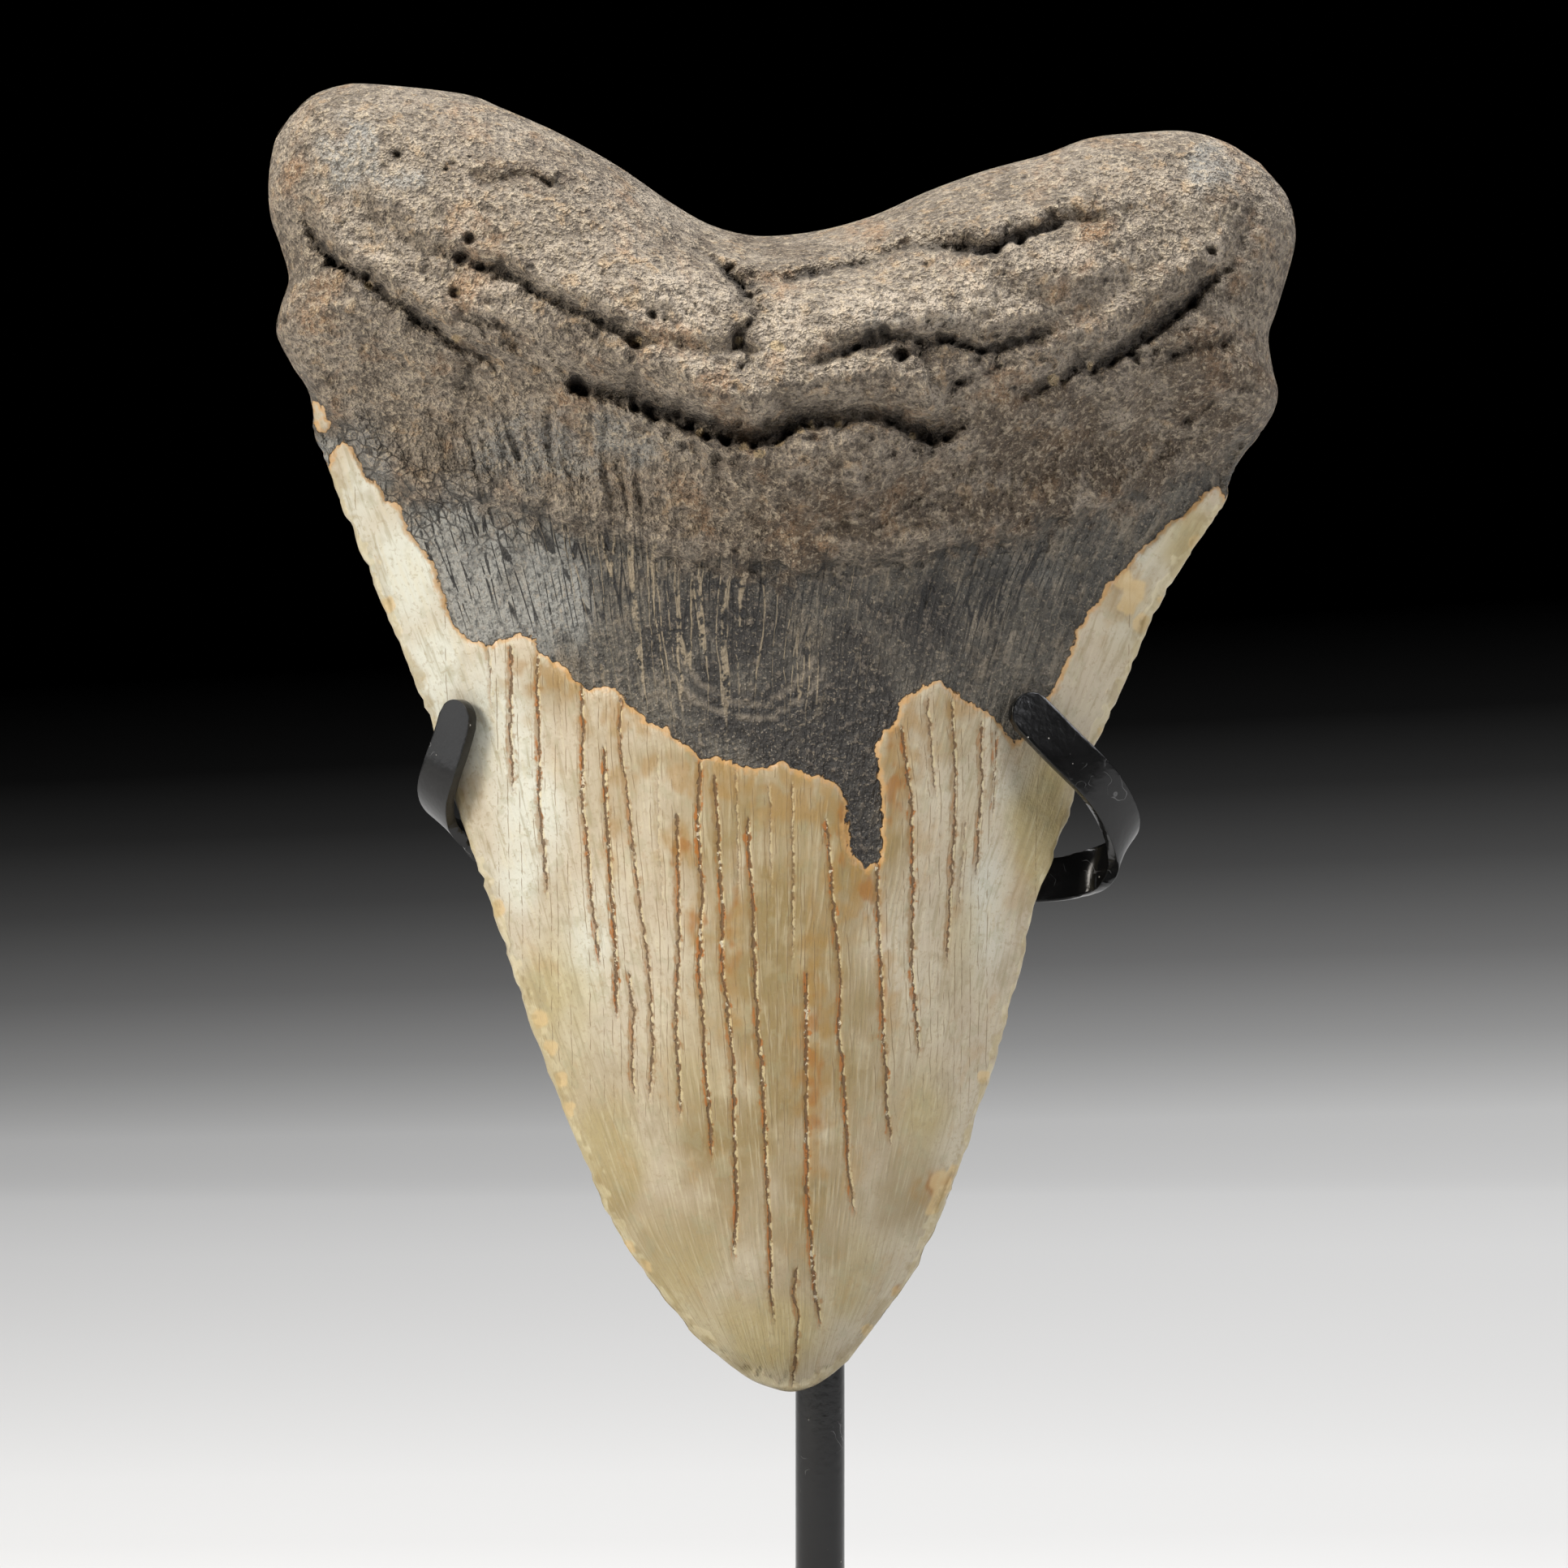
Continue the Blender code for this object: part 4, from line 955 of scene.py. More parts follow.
# %% Zones
# Spacing of a zone's clouds in millimetres, how strong they are, and its patches
ZONES = {
    "ochre": (7.0, 0.3, [
        (900, 1010, 90, 120, 0.8), (1040, 1030, 55, 110, 0.9), (1100, 1000, 40, 140, 0.8),
        (760, 960, 60, 130, 0.4), (960, 1200, 110, 280, 1), (1050, 1330, 60, 170, 0.8),
        (900, 1420, 100, 140, 0.9), (800, 1480, 110, 100, 0.5), (1110, 1480, 60, 90, 0.7),
        (1170, 1160, 40, 150, 0.3), (760, 1330, 70, 120, 0.3), (700, 850, 60, 50, 0.5),
        (1000, 1480, 90, 130, 0.8), (1160, 900, 50, 60, 0.6), (830, 930, 90, 40, 0.6),
    ]),
    "olive": (9.0, 0.35, [
        (680, 1290, 60, 160, 0.8), (740, 1440, 60, 120, 0.9), (820, 1560, 90, 90, 0.8),
        (930, 1640, 110, 70, 0.9), (1060, 1580, 60, 110, 0.6), (870, 1330, 80, 140, 0.5),
        # The patch at 1285, 1010 darkens the enamel under the right arm, where the arm's shadow
        # falls: olive stain and painted shadow together
        (1390, 760, 60, 120, 0.5), (1460, 660, 60, 60, 0.7), (1285, 1010, 44, 110, 1),
        (990, 1000, 60, 90, 0.5), (1130, 1360, 50, 140, 0.6), (1190, 1100, 40, 200, 0.35),
    ]),
    "pale": (8.0, 0.35, [
        (500, 700, 60, 170, 0.8), (650, 1010, 60, 200, 0.8), (720, 1180, 60, 140, 0.6),
        (1210, 1120, 40, 120, 0.5), (600, 880, 60, 100, 0.8), (1240, 960, 40, 80, 0.4),
        (440, 620, 40, 60, 0.8), (490, 720, 50, 120, 0.7), (540, 830, 50, 80, 0.9),
        (1400, 720, 60, 110, 0.5),
    ]),
    "rusty": (1.6, 0.9, [
        (840, 1045, 14, 22, 1), (860, 1135, 14, 22, 1), (1040, 1020, 12, 60, 0.8),
        (1065, 1100, 16, 30, 0.9), (1000, 1290, 16, 150, 0.8), (1100, 960, 14, 70, 0.8),
        (905, 1150, 12, 80, 0.6), (1085, 1200, 10, 80, 0.6), (1160, 1460, 20, 22, 0.9),
        (1107, 1592, 9, 9, 1),
    ]),
    "slate": (6.0, 0.4, [
        (560, 700, 110, 110, 1), (440, 560, 50, 60, 1), (660, 740, 80, 90, 0.8),
        (1300, 700, 110, 80, 0.2), (640, 560, 90, 60, 0.6),
    ]),
    "veined": (6.0, 0.4, [
        (880, 790, 150, 100, 1), (800, 720, 100, 70, 1), (760, 660, 100, 50, 0.8),
        (1050, 740, 120, 60, 0.5),
    ]),
    "split": (5.0, 0.4, [
        (600, 700, 130, 90, 1), (720, 700, 90, 80, 1), (900, 740, 160, 90, 0.7),
        (1200, 740, 150, 110, 0.6),
    ]),
    "ribbed": (6.0, 0.3, [
        (620, 560, 110, 55, 1), (790, 600, 110, 50, 0.8), (720, 520, 60, 30, 0.8),
        (1300, 600, 170, 50, 0.5),
    ]),
    "tawny": (1.8, 0.9, [
        (690, 835, 70, 26, 0.9), (780, 885, 70, 26, 0.9), (880, 955, 90, 30, 1),
        (980, 985, 60, 40, 1), (1050, 1090, 40, 60, 1), (1112, 930, 24, 70, 1),
        (1180, 868, 50, 22, 0.8), (840, 1045, 30, 30, 0.8), (860, 1140, 26, 40, 0.7),
        (1000, 1290, 30, 200, 0.8), (900, 1180, 22, 160, 0.6), (1090, 1220, 22, 120, 0.6),
        (1040, 1020, 24, 70, 0.8), (760, 1000, 20, 120, 0.5), (1385, 715, 24, 40, 0.8),
        (1150, 1465, 26, 26, 1),
    ]),
    "crazed": (4.0, 0.4, [
        (450, 560, 50, 50, 1), (550, 600, 90, 40, 0.9), (520, 640, 60, 50, 0.9),
        (640, 660, 80, 35, 0.8), (480, 610, 40, 40, 0.9),
    ]),
    "sooty": (5.0, 0.4, [
        (960, 900, 130, 90, 1), (1050, 920, 70, 160, 1), (900, 780, 140, 100, 0.8),
        (1100, 780, 120, 90, 0.7),
    ]),
    "earthy": (3.0, 0.6, [
        (1020, 625, 220, 80, 0.6), (930, 700, 160, 50, 0.6), (960, 318, 90, 26, 0.6),
        (1310, 560, 170, 70, 1), (1480, 480, 90, 70, 0.9), (1250, 640, 160, 40, 0.8),
        (1400, 400, 90, 30, 0.5), (900, 320, 90, 60, 0.6), (700, 210, 160, 50, 0.5),
    ]),
    # Pale patches, and painted highlights on the crests of the rolls
    "bleached_and_highlit": (2.5, 0.7, [
        (850, 385, 60, 40, 1), (975, 420, 40, 40, 1), (1170, 385, 120, 30, 0.8),
        (1480, 320, 26, 22, 1), (640, 372, 70, 16, 0.7), (470, 330, 50, 22, 0.4),
        (1300, 330, 120, 30, 0.5), (470, 200, 60, 40, 0.2), (1100, 400, 110, 26, 1),
    ]),
    "ashen": (3.0, 0.6, [
        (440, 200, 40, 50, 1), (500, 240, 40, 26, 0.7), (1490, 215, 44, 40, 0.8),
        # The patch at 1100, 405 lightens the crest of the right roll: grey stain and painted
        # highlight together
        (700, 560, 120, 50, 1), (1100, 405, 110, 24, 0.5),
    ]),
}
LEFT_OUT_BEHIND = (
    "ribbed", "veined", "split", "crazed", "sooty", "earthy", "bleached_and_highlit", "slate",
)

print("zones:", list(ZONES))

# %% [markdown]
# ## Fine unevenness
#
# The root is grainy, with wrinkles beside its fissures, and below the ledge fine ribs run down
# it. The dark band has shallow furrows, and the enamel is nearly smooth. All of this is random,
# but each kind has its own size and direction.

# %% Unevenness
# Spacing and height of the grain in millimetres, layer of noise and detail
GRAIN_LAYERS = [(5.5, 0.45, 3.0, 3), (1.9, 0.30, 7.0, 3), (0.8, 0.14, 12.0, 2)]
MOUND = [(1020, 625, 190, 62, 1.0)]
RIB_DEPTH = 1.5 * MM
FURROW_DEPTH = 0.16 * MM
PORE_DEPTH = 0.35 * MM
WRINKLE_DEPTH = 0.22 * MM
ENAMEL_UNEVEN = 0.06 * MM
ACROSS_LENGTH = 110.0 * MM
ALONG_LENGTH = 150.0 * MM
ARC_LINES = [
    [(838, 812), (862, 845), (905, 868), (950, 862), (985, 842), (1003, 815)],
    [(826, 826), (855, 862), (905, 886), (955, 880), (995, 856), (1016, 826)],
]
# How far each kind is drawn out along its own direction
WRINKLE_STRETCH = 0.16
RIB_STRETCH = 0.1
FURROW_STRETCH = 0.08
WRINKLE_LIMITS = (0.72, 0.78)
WRINKLE_SHARE = 0.25
PORE_LIMITS = (0.38, 0.6)
BAND_CALM = 0.7
MOUND_ROUGHNESS = 1.6
ARC_HEIGHT = 0.12 * MM
ARC_WIDTH = 0.35 * MM
DEEPEST_SHARE = 0.6


def grain_of(x, z, layers, shift=0.0):
    """Height of the root's grain, which is the sum of a few sizes of noise."""
    return sum(
        height * MM * cloudy(x, z, spacing * MM, layer + shift, detail)
        for spacing, height, layer, detail in layers
    )


grain = grain_of(x, z, GRAIN_LAYERS)
across, along = u * ACROSS_LENGTH, v * ALONG_LENGTH
wrinkles = cloudy(across * WRINKLE_STRETCH, along, *CLOUDS["wrinkles"])
ribs = cloudy(across, along * RIB_STRETCH, *CLOUDS["ribs"])
furrows = cloudy(across, along * FURROW_STRETCH, *CLOUDS["furrows"])
mound = patches(MOUND, x, z)
bare = 1.0 - coated
rooted = smooth_steps(v, *WRINKLE_LIMITS)
arcs = [bell(offset_from(line, torn_x, torn_z)[0], ARC_WIDTH) for line in ARC_LINES]
arcs = np.max(arcs, axis=0)
pores = smooth_steps(cloudy(x, z, *CLOUDS["pores"]), *PORE_LIMITS)
uneven = grain * bare * (1.0 - BAND_CALM * banded) * (1.0 + MOUND_ROUGHNESS * mound)
uneven += PORE_DEPTH * pores * bare * (1.0 - banded)
uneven += WRINKLE_DEPTH * wrinkles * rooted * np.clip(WRINKLE_SHARE + 2.0 * hollow, 0.0, 1.0)
uneven += RIB_DEPTH * ribs * patches(ZONES["ribbed"][-1], x, z) * bare
uneven += FURROW_DEPTH * furrows * banded - ARC_HEIGHT * arcs * banded
uneven += ENAMEL_UNEVEN * cloudy(x, z, *CLOUDS["enamel"]) * coated
y = plain_front + inner * np.minimum(inwards + uneven, DEEPEST_SHARE * (ring - plain_front))
y[on_rim] = ring[on_rim]
placed = np.stack((bite_edges(x, z, u, v), y, z), axis=1)
front.data.vertices.foreach_set("co", placed.ravel())
print("front is placed")

# %% [markdown]
# ## The back
#
# The back of the tooth was the outer side in the jaw. It is nearly flat, has no dark band, and
# its enamel ends in a shallow curve that dips between the lobes. The photograph doesn't show
# it, so its cracks are those of the front, mirrored and only half as strong.

# %% Back
BACK_ENAMEL_TOP = [
    (370, 560), (420, 560), (520, 590), (640, 625), (780, 665), (900, 690), (1000, 690),
    (1130, 668), (1270, 635), (1400, 605), (1510, 590), (1560, 590),
]
BACK_LAYER = 80.0
BACK_STEP = 0.4 * MM
BACK_UNEVEN = 0.15 * MM
BACK_SHARE = 0.5
BACK_CRACK_SHARE = 0.5

back_u, back_v, back_on_rim = shares_of(back)
back_x, back_z = net(back_u, back_v).T
back_rim = rim_distance(back_x, back_z)
back_ring, _, plain_back = plain_form(back_rim, back_u, back_v)
back_torn_x, back_torn_z = torn(back_x, back_z, BACK_LAYER)
back_enamel = -height_over(BACK_ENAMEL_TOP, back_torn_x, back_torn_z)
back_bare = 1.0 - smooth_steps(back_enamel, 0.0, ENAMEL_SLOPE)
back_uneven = BACK_UNEVEN * cloudy(back_x, back_z, *CLOUDS["back"])
back_uneven += back_bare * grain_of(back_x, back_z, GRAIN_LAYERS[:2], BACK_LAYER)
back_lane, back_gap, back_opened, back_rust = follow_cracks(2.0 * middle_x - back_x, back_z)
back_blade = 1.0 - smooth_steps(back_v, ROOT_START, ROOT_FULL)
outwards = back_uneven - BACK_STEP * back_bare * back_blade
slack = BACK_SHARE * (plain_back - back_ring)
back_y = plain_back + smooth_steps(back_rim, 0.0, RIM_STRIP) * np.clip(outwards, -slack, 0.0)
back_y[back_on_rim] = back_ring[back_on_rim]
placed = np.stack((bite_edges(back_x, back_z, back_u, back_v), back_y, back_z), axis=1)
back.data.vertices.foreach_set("co", placed.ravel())
print("back is placed")

# %% [markdown]
# ## Numbers kept on the points
#
# Each zone, made cloudy, and each distance that was measured is kept as one number on every
# point, where the material of the tooth can read it. The back has plain zones without clouds,
# and none of those that belong to the dark band and the root's front.

# %% Kept numbers
ZONE_LAYER = 100.0
# A band distance in millimetres that is far above the band
NO_BAND = -9.0

for layer, (name, (spacing, swing, blobs)) in enumerate(ZONES.items()):
    clouds = 1.0 + 2.0 * swing * cloudy(x, z, spacing * MM, ZONE_LAYER + layer)
    keep(front, name, np.clip(patches(blobs, x, z) * clouds, 0.0, 1.0))
    behind = 0.0 if name in LEFT_OUT_BEHIND else 1.0
    keep(back, name, behind * patches(blobs, back_x, back_z))
front_numbers = {
    "enamel": enamel / MM, "band": band / MM, "rim": rim / MM, "across": u, "along": v,
    "lane": lane, "gap": gap, "opened": opened, "seep": rust,
    "hollow": hollow * inner, "scar": scar, "flake": flake, "arcs": arcs, "crumb": crumb_share,
}
back_numbers = {
    "enamel": back_enamel / MM, "band": NO_BAND + 0.0 * back_rim, "rim": back_rim / MM,
    "across": back_u, "along": back_v, "lane": back_lane, "gap": back_gap,
    "opened": BACK_CRACK_SHARE * back_opened, "seep": back_rust,
}
for name, values in front_numbers.items():
    keep(front, name, values)
    keep(back, name, back_numbers.get(name, np.zeros(back_rim.shape)))
print("numbers on each point:", len(ZONES) + len(front_numbers))

# %% [markdown]
# ## Closing the tooth
#
# Joined, the two grids still have a double rim. Merging points that coincide closes it, and
# turning the faces outwards makes it one solid. The tooth then takes the place of its CAD solid.

# %% Join
MERGE_DISTANCE = 0.002 * MM


def make_active(thing):
    """Select one object alone and make it the active one."""
    deselect()
    thing.select_set(True)
    bpy.context.view_layer.objects.active = thing


def face_outwards(thing):
    """Turn all faces of a closed piece outwards."""
    make_active(thing)
    bpy.ops.object.mode_set(mode="EDIT")
    bpy.ops.mesh.select_all(action="SELECT")
    bpy.ops.mesh.normals_make_consistent(inside=False)
    bpy.ops.object.mode_set(mode="OBJECT")


make_active(front)
back.select_set(True)
bpy.ops.object.join()
tooth = front
tooth.name = "tooth_surface"
bpy.ops.object.mode_set(mode="EDIT")
bpy.ops.mesh.select_all(action="SELECT")
bpy.ops.mesh.remove_doubles(threshold=MERGE_DISTANCE)
bpy.ops.mesh.quads_convert_to_tris()
bpy.ops.object.mode_set(mode="OBJECT")
face_outwards(tooth)
bpy.ops.object.shade_smooth()
edges = np.empty(len(tooth.data.loops), dtype=int)
tooth.data.loops.foreach_get("edge_index", edges)
open_edges = int(np.sum(np.bincount(edges) != 2))
print("tooth triangles:", len(tooth.data.polygons), "open edges:", open_edges)
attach(tooth, "root")
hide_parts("tooth")

# %% [markdown]
# ## Finish of the tooth: what it reads
#
# The whole tooth is one fossil, mineralised in the seabed and then cleaned by hand, so it has one
# material. Masks decide where root, band and enamel show. They come from the numbers kept on the
# points, roughened with noise. Every noise is given its real size in millimetres.

# %% Masks
# How much slower a noise changes across or along the tooth, and how far each noise is moved
SHELF_STRETCH = (0.3, 1.0, 1.0)
STRAND_STRETCH = (1.0, 0.12, 1.0)
NOISE_SHIFT = (0.37, 0.11, 0.05)

fossil = bpy.data.materials.new("mineralised_tooth_cleaned_by_hand")
fossil.use_nodes = True
tree = fossil.node_tree
shader = tree.nodes["Principled BSDF"]
KEPT = (*front_numbers, *ZONES)
kept = {name: add(tree, "Attribute", attribute_name=name, out="Fac") for name in KEPT}
place = add(tree, "TexCoord", out="Object")

# Coordinates in metres that run across and along the tooth's own grain
flow_x = add(tree, "Math", (kept["across"], ACROSS_LENGTH), **TIMES)
flow_y = add(tree, "Math", (kept["along"], ALONG_LENGTH), **TIMES)
flow = add(tree, "CombineXYZ", (flow_x, flow_y))
shelf = add(tree, "Mapping", {"Vector": flow, "Scale": SHELF_STRETCH})
strands = add(tree, "Mapping", {"Vector": flow, "Scale": STRAND_STRETCH})

# Noise of each size in millimetres and its detail, from broad clouds down to sand
NOISE_SIZES = {
    "broad": (14.0, 2.0), "blotch": (4.5, 3.0), "spots": (2.2, 3.0), "crumbs": (0.95, 2.0),
    "grains": (0.5, 2.0), "sand": (0.26, 1.0),
}
noises = {}
for shift, (name, (size, detail)) in enumerate(NOISE_SIZES.items()):
    moved = add(tree, "VectorMath", (place, [shift * part for part in NOISE_SHIFT]), **PLUS)
    noises[name] = add(tree, "TexNoise", {
        "Vector": moved, "Scale": 1.0 / (size * MM), "Detail": detail, "Roughness": 0.6})
streaks, warm, layers = (
    add(tree, "TexNoise", {
        "Vector": grain_way, "Scale": 1.0 / (size * MM), "Detail": detail, "Roughness": rough})
    for grain_way, size, detail, rough in (
        (strands, 0.9, 3.0, 0.6), (flow, 9.0, 4.0, 0.7), (shelf, 1.1, 2.0, 0.6))
)
print("values read from the points:", len(KEPT))

# %% [markdown]
# ## Lines in the core
#
# Dentine, the core of the tooth, shrank and cracked in the ground. Fine splits run down the left
# of the band, crazes net its upper edge, and beaded tan veins waver through its middle like wood
# grain. The veins are lines of equal height on a noise that is stretched along the grain.

# %% Lines in the core
NET = {"feature": "DISTANCE_TO_EDGE"}
# Spacing of each kind, and how much slower it changes across and along the tooth
WOBBLE_SIZE = 5.0 * MM
WOBBLE_REACH = 0.9 * MM
VEIN_SIZE = 2.2 * MM
VEIN_STRETCH = (1.0, 0.07, 1.0)
SPLIT_SIZE = 1.2 * MM
SPLIT_STRETCH = (1.0, 0.08, 1.0)
SPLIT_WOBBLE = 0.4
CRAZE_SIZE = 1.5 * MM


def overlap(reading, start, end, others):
    """Where a reading goes from start to end and all the other masks show too."""
    share = add(tree, "MapRange", (reading, start, end), **SMOOTH)
    for other in others:
        share = add(tree, "Math", (share, other), **TIMES)
    return share


wobble = add(tree, "TexNoise", {"Vector": flow, "Scale": 1.0 / WOBBLE_SIZE, "Detail": 2.0}, 1)
wobble = add(tree, "VectorMath", {0: wobble, "Scale": WOBBLE_REACH}, operation="SCALE")
wavy = add(tree, "VectorMath", (flow, wobble), **PLUS)
vein_place = add(tree, "Mapping", {"Vector": wavy, "Scale": VEIN_STRETCH})
veins = add(tree, "TexNoise", {"Vector": vein_place, "Scale": 1.0 / VEIN_SIZE, "Detail": 1.0})
vein = add(tree, "Math", (veins, 0.5), **MINUS)
vein = add(tree, "Math", (vein,), **UNSIGNED)
beads = add(tree, "MapRange", (noises["crumbs"], 0.36, 0.50), **SMOOTH)
vein = overlap(vein, 0.030, 0.010, (beads, kept["veined"]))
gentle = add(tree, "Mix", {0: SPLIT_WOBBLE, 4: flow, 5: wavy}, 1, data_type="VECTOR")
split_place = add(tree, "Mapping", {"Vector": gentle, "Scale": SPLIT_STRETCH})
splits = add(tree, "TexVoronoi", {"Vector": split_place, "Scale": 1.0 / SPLIT_SIZE}, **NET)
open_split = add(tree, "MapRange", (noises["spots"], 0.38, 0.50), **SMOOTH)
splits = overlap(splits, 0.075, 0.02, (open_split, kept["split"]))
crazes = add(tree, "TexVoronoi", {"Vector": wavy, "Scale": 1.0 / CRAZE_SIZE}, **NET)
crazes = overlap(crazes, 0.08, 0.02, (kept["crazed"],))
print("lines in the core: veins, splits and crazes")

# %% [markdown]
# ## Colour of the root
#
# The root is porous, so it has soaked up the most. It is grainy like fine sandstone: grey brown,
# almost black in the fissures, with rusty and cream specks. The fissures and pits are darkened
# more the deeper they are, dirt and painted shade together, and the crests of the rolls are
# lightened, pale patches and painted highlights together. A layer of colour is laid over those
# before it where its mask says so, from a first limit to a second.

# %% Root colour
def lay_colours(base, layers):
    """Lay colours over a base, each by its share where its mask goes from start to end."""
    colour = add(tree, "RGB")
    colour.default_value = srgb(base)
    for reading, start, end, share, code in layers:
        share = add(tree, "MapRange", (reading, start, end, 0.0, share), **SMOOTH)
        colour = add(tree, "Mix", {0: share, 6: colour, 7: srgb(code)}, 2, **COLOUR)
    return colour


rib_lines = overlap(streaks, 0.47, 0.38, (kept["ribbed"],))
# What the mask reads, its two limits, the colour's share, and the colour
ROOT_LAYERS = [
    (noises["broad"], 0.42, 0.60, 0.8, "#8c8173"),
    (noises["blotch"], 0.50, 0.66, 0.75, "#9d9181"),
    (noises["blotch"], 0.47, 0.33, 0.7, "#5b5045"),
    (layers, 0.52, 0.66, 0.5, "#a39685"),
    (layers, 0.46, 0.34, 0.5, "#50463b"),
    (warm, 0.52, 0.68, 0.6, "#94704c"),
    (noises["spots"], 0.56, 0.68, 0.55, "#a98e6c"),
    (noises["spots"], 0.44, 0.34, 0.5, "#4a4036"),
    (kept["ashen"], 0.2, 0.8, 0.6, "#8f8f8a"),
    (kept["slate"], 0.2, 0.9, 0.7, "#8b8a85"),
    (kept["earthy"], 0.15, 0.8, 0.72, "#4f4030"),
    # Pale patches and painted highlights on the crests of the rolls
    (kept["bleached_and_highlit"], 0.25, 0.8, 0.6, "#b5a897"),
    (noises["crumbs"], 0.56, 0.65, 0.55, "#b5a68f"),
    (noises["crumbs"], 0.44, 0.35, 0.58, "#43392f"),
    (noises["grains"], 0.57, 0.65, 0.48, "#b9a990"),
    (noises["grains"], 0.44, 0.36, 0.58, "#3a3128"),
    (noises["sand"], 0.60, 0.68, 0.2, "#c4b499"),
    # Darkened fissures and pits: dark dirt and painted shade together
    (kept["hollow"], 0.25, 0.8, 0.75, "#1d1712"),
    (kept["crumb"], 0.3, 0.8, 0.7, "#a9946f"),
    (rib_lines, 0.1, 0.8, 0.55, "#2f2922"),
    (splits, 0.1, 0.6, 0.6, "#2a251f"),
    (crazes, 0.1, 0.7, 0.7, "#2e2822"),
]
root_colour = lay_colours("#786d5f", ROOT_LAYERS)
print("colours of the root:", len(ROOT_LAYERS) + 1)

# %% [markdown]
# ## Colour of the dark band
#
# The bare core of the tooth shows in the band. On the left it is smooth and slate grey, in the
# middle nearly black, and on the right dark brown with paler grains. The splits, crazes and veins
# are laid over the clouds, streaks and grains. A dark line along its top edge is painted shade
# under the step, and its fissures are darkened by dirt and painted shade together.

# %% Band colour
BAND_LAYERS = [
    (noises["broad"], 0.42, 0.60, 0.7, "#5a554b"),
    (streaks, 0.52, 0.64, 0.6, "#797061"),
    (streaks, 0.48, 0.36, 0.6, "#26231f"),
    (noises["blotch"], 0.54, 0.68, 0.35, "#7d705d"),
    (kept["slate"], 0.15, 0.7, 0.72, "#9c9c96"),
    (kept["sooty"], 0.15, 0.8, 0.92, "#1b1713"),
    (noises["spots"], 0.44, 0.34, 0.4, "#27231f"),
    (noises["crumbs"], 0.58, 0.66, 0.28, "#8d8070"),
    (noises["crumbs"], 0.44, 0.34, 0.45, "#1c1916"),
    (noises["grains"], 0.61, 0.69, 0.42, "#978a75"),
    (noises["grains"], 0.42, 0.34, 0.5, "#171512"),
    (noises["sand"], 0.65, 0.71, 0.3, "#b5aa98"),
    (kept["arcs"], 0.2, 0.9, 0.45, "#877c6c"),
    # A dark line along the band's top edge: painted shade under its step
    (kept["band"], 1.5, 0.4, 0.6, "#29251f"),
    (splits, 0.1, 0.6, 0.92, "#141210"),
    (crazes, 0.1, 0.7, 0.75, "#262421"),
    (vein, 0.1, 0.7, 0.75, "#968870"),
    # Darkened fissures and pits: dark dirt and painted shade together
    (kept["hollow"], 0.12, 0.65, 0.7, "#241d17"),
]
band_colour = lay_colours("#403d36", BAND_LAYERS)
ragged = add(tree, "MapRange", (noises["spots"], 0.3, 0.7, -2.6, 2.6))
ragged = add(tree, "Math", (kept["band"], ragged), **PLUS)
on_band = add(tree, "MapRange", (ragged, -1.8, 2.8), **SMOOTH)
core_colour = add(tree, "Mix", {0: on_band, 6: root_colour, 7: band_colour}, 2, **COLOUR)
print("colours of the band:", len(BAND_LAYERS) + 1)

# %% [markdown]
# ## Colour of the enamel
#
# Enamel hardly takes up stain, so it stays light: cool and pale at the upper left, ochre in the
# middle, olive along the edges. Streaks and fine lines follow its grain. The cracks hold brown
# dirt and white crystals, and rust has seeped out beside some of them.

# %% Enamel colour
# Distance from the nearest crack in millimetres, less than nothing to the left of it
beside = add(tree, "Math", (kept["lane"], 0.5), **PLUS)
beside = add(tree, "Math", (beside,), operation="FRACT")
beside = add(tree, "Math", (beside, 0.5), **MINUS)
beside = add(tree, "Math", (beside, kept["gap"]), **TIMES)
sideways = add(tree, "MapRange", (noises["crumbs"], 0.3, 0.7, -0.15, 0.15))
beside = add(tree, "Math", (beside, sideways), **PLUS)
crack_mm = add(tree, "Math", (beside,), **UNSIGNED)
ragged_mm = add(tree, "MapRange", (noises["grains"], 0.3, 0.7, -0.08, 0.10))
ragged_mm = add(tree, "Math", (crack_mm, ragged_mm), **PLUS)
width_mm = add(tree, "MapRange", (kept["opened"], 0.15, 1.0, 0.02, 0.13))
from_crack = add(tree, "Math", (width_mm, ragged_mm), **MINUS)
crack = overlap(from_crack, -0.08, 0.05, (kept["opened"],))

# Fine lines a quarter of the way to each neighbour, which fade in and out
twice = add(tree, "Math", (kept["lane"], 2.0), **TIMES)
twice = add(tree, "Math", (twice,), operation="FRACT")
twice = add(tree, "Math", (twice, 0.5), **MINUS)
twice = add(tree, "Math", (twice,), **UNSIGNED)
hair_mm = add(tree, "Math", (twice, kept["gap"]), **TIMES)
hair_where = add(tree, "MapRange", (streaks, 0.44, 0.54), **SMOOTH)
above_tip = add(tree, "MapRange", (kept["along"], 0.14, 0.30), **SMOOTH)
hair = overlap(hair_mm, 0.16, 0.04, (hair_where, above_tip))

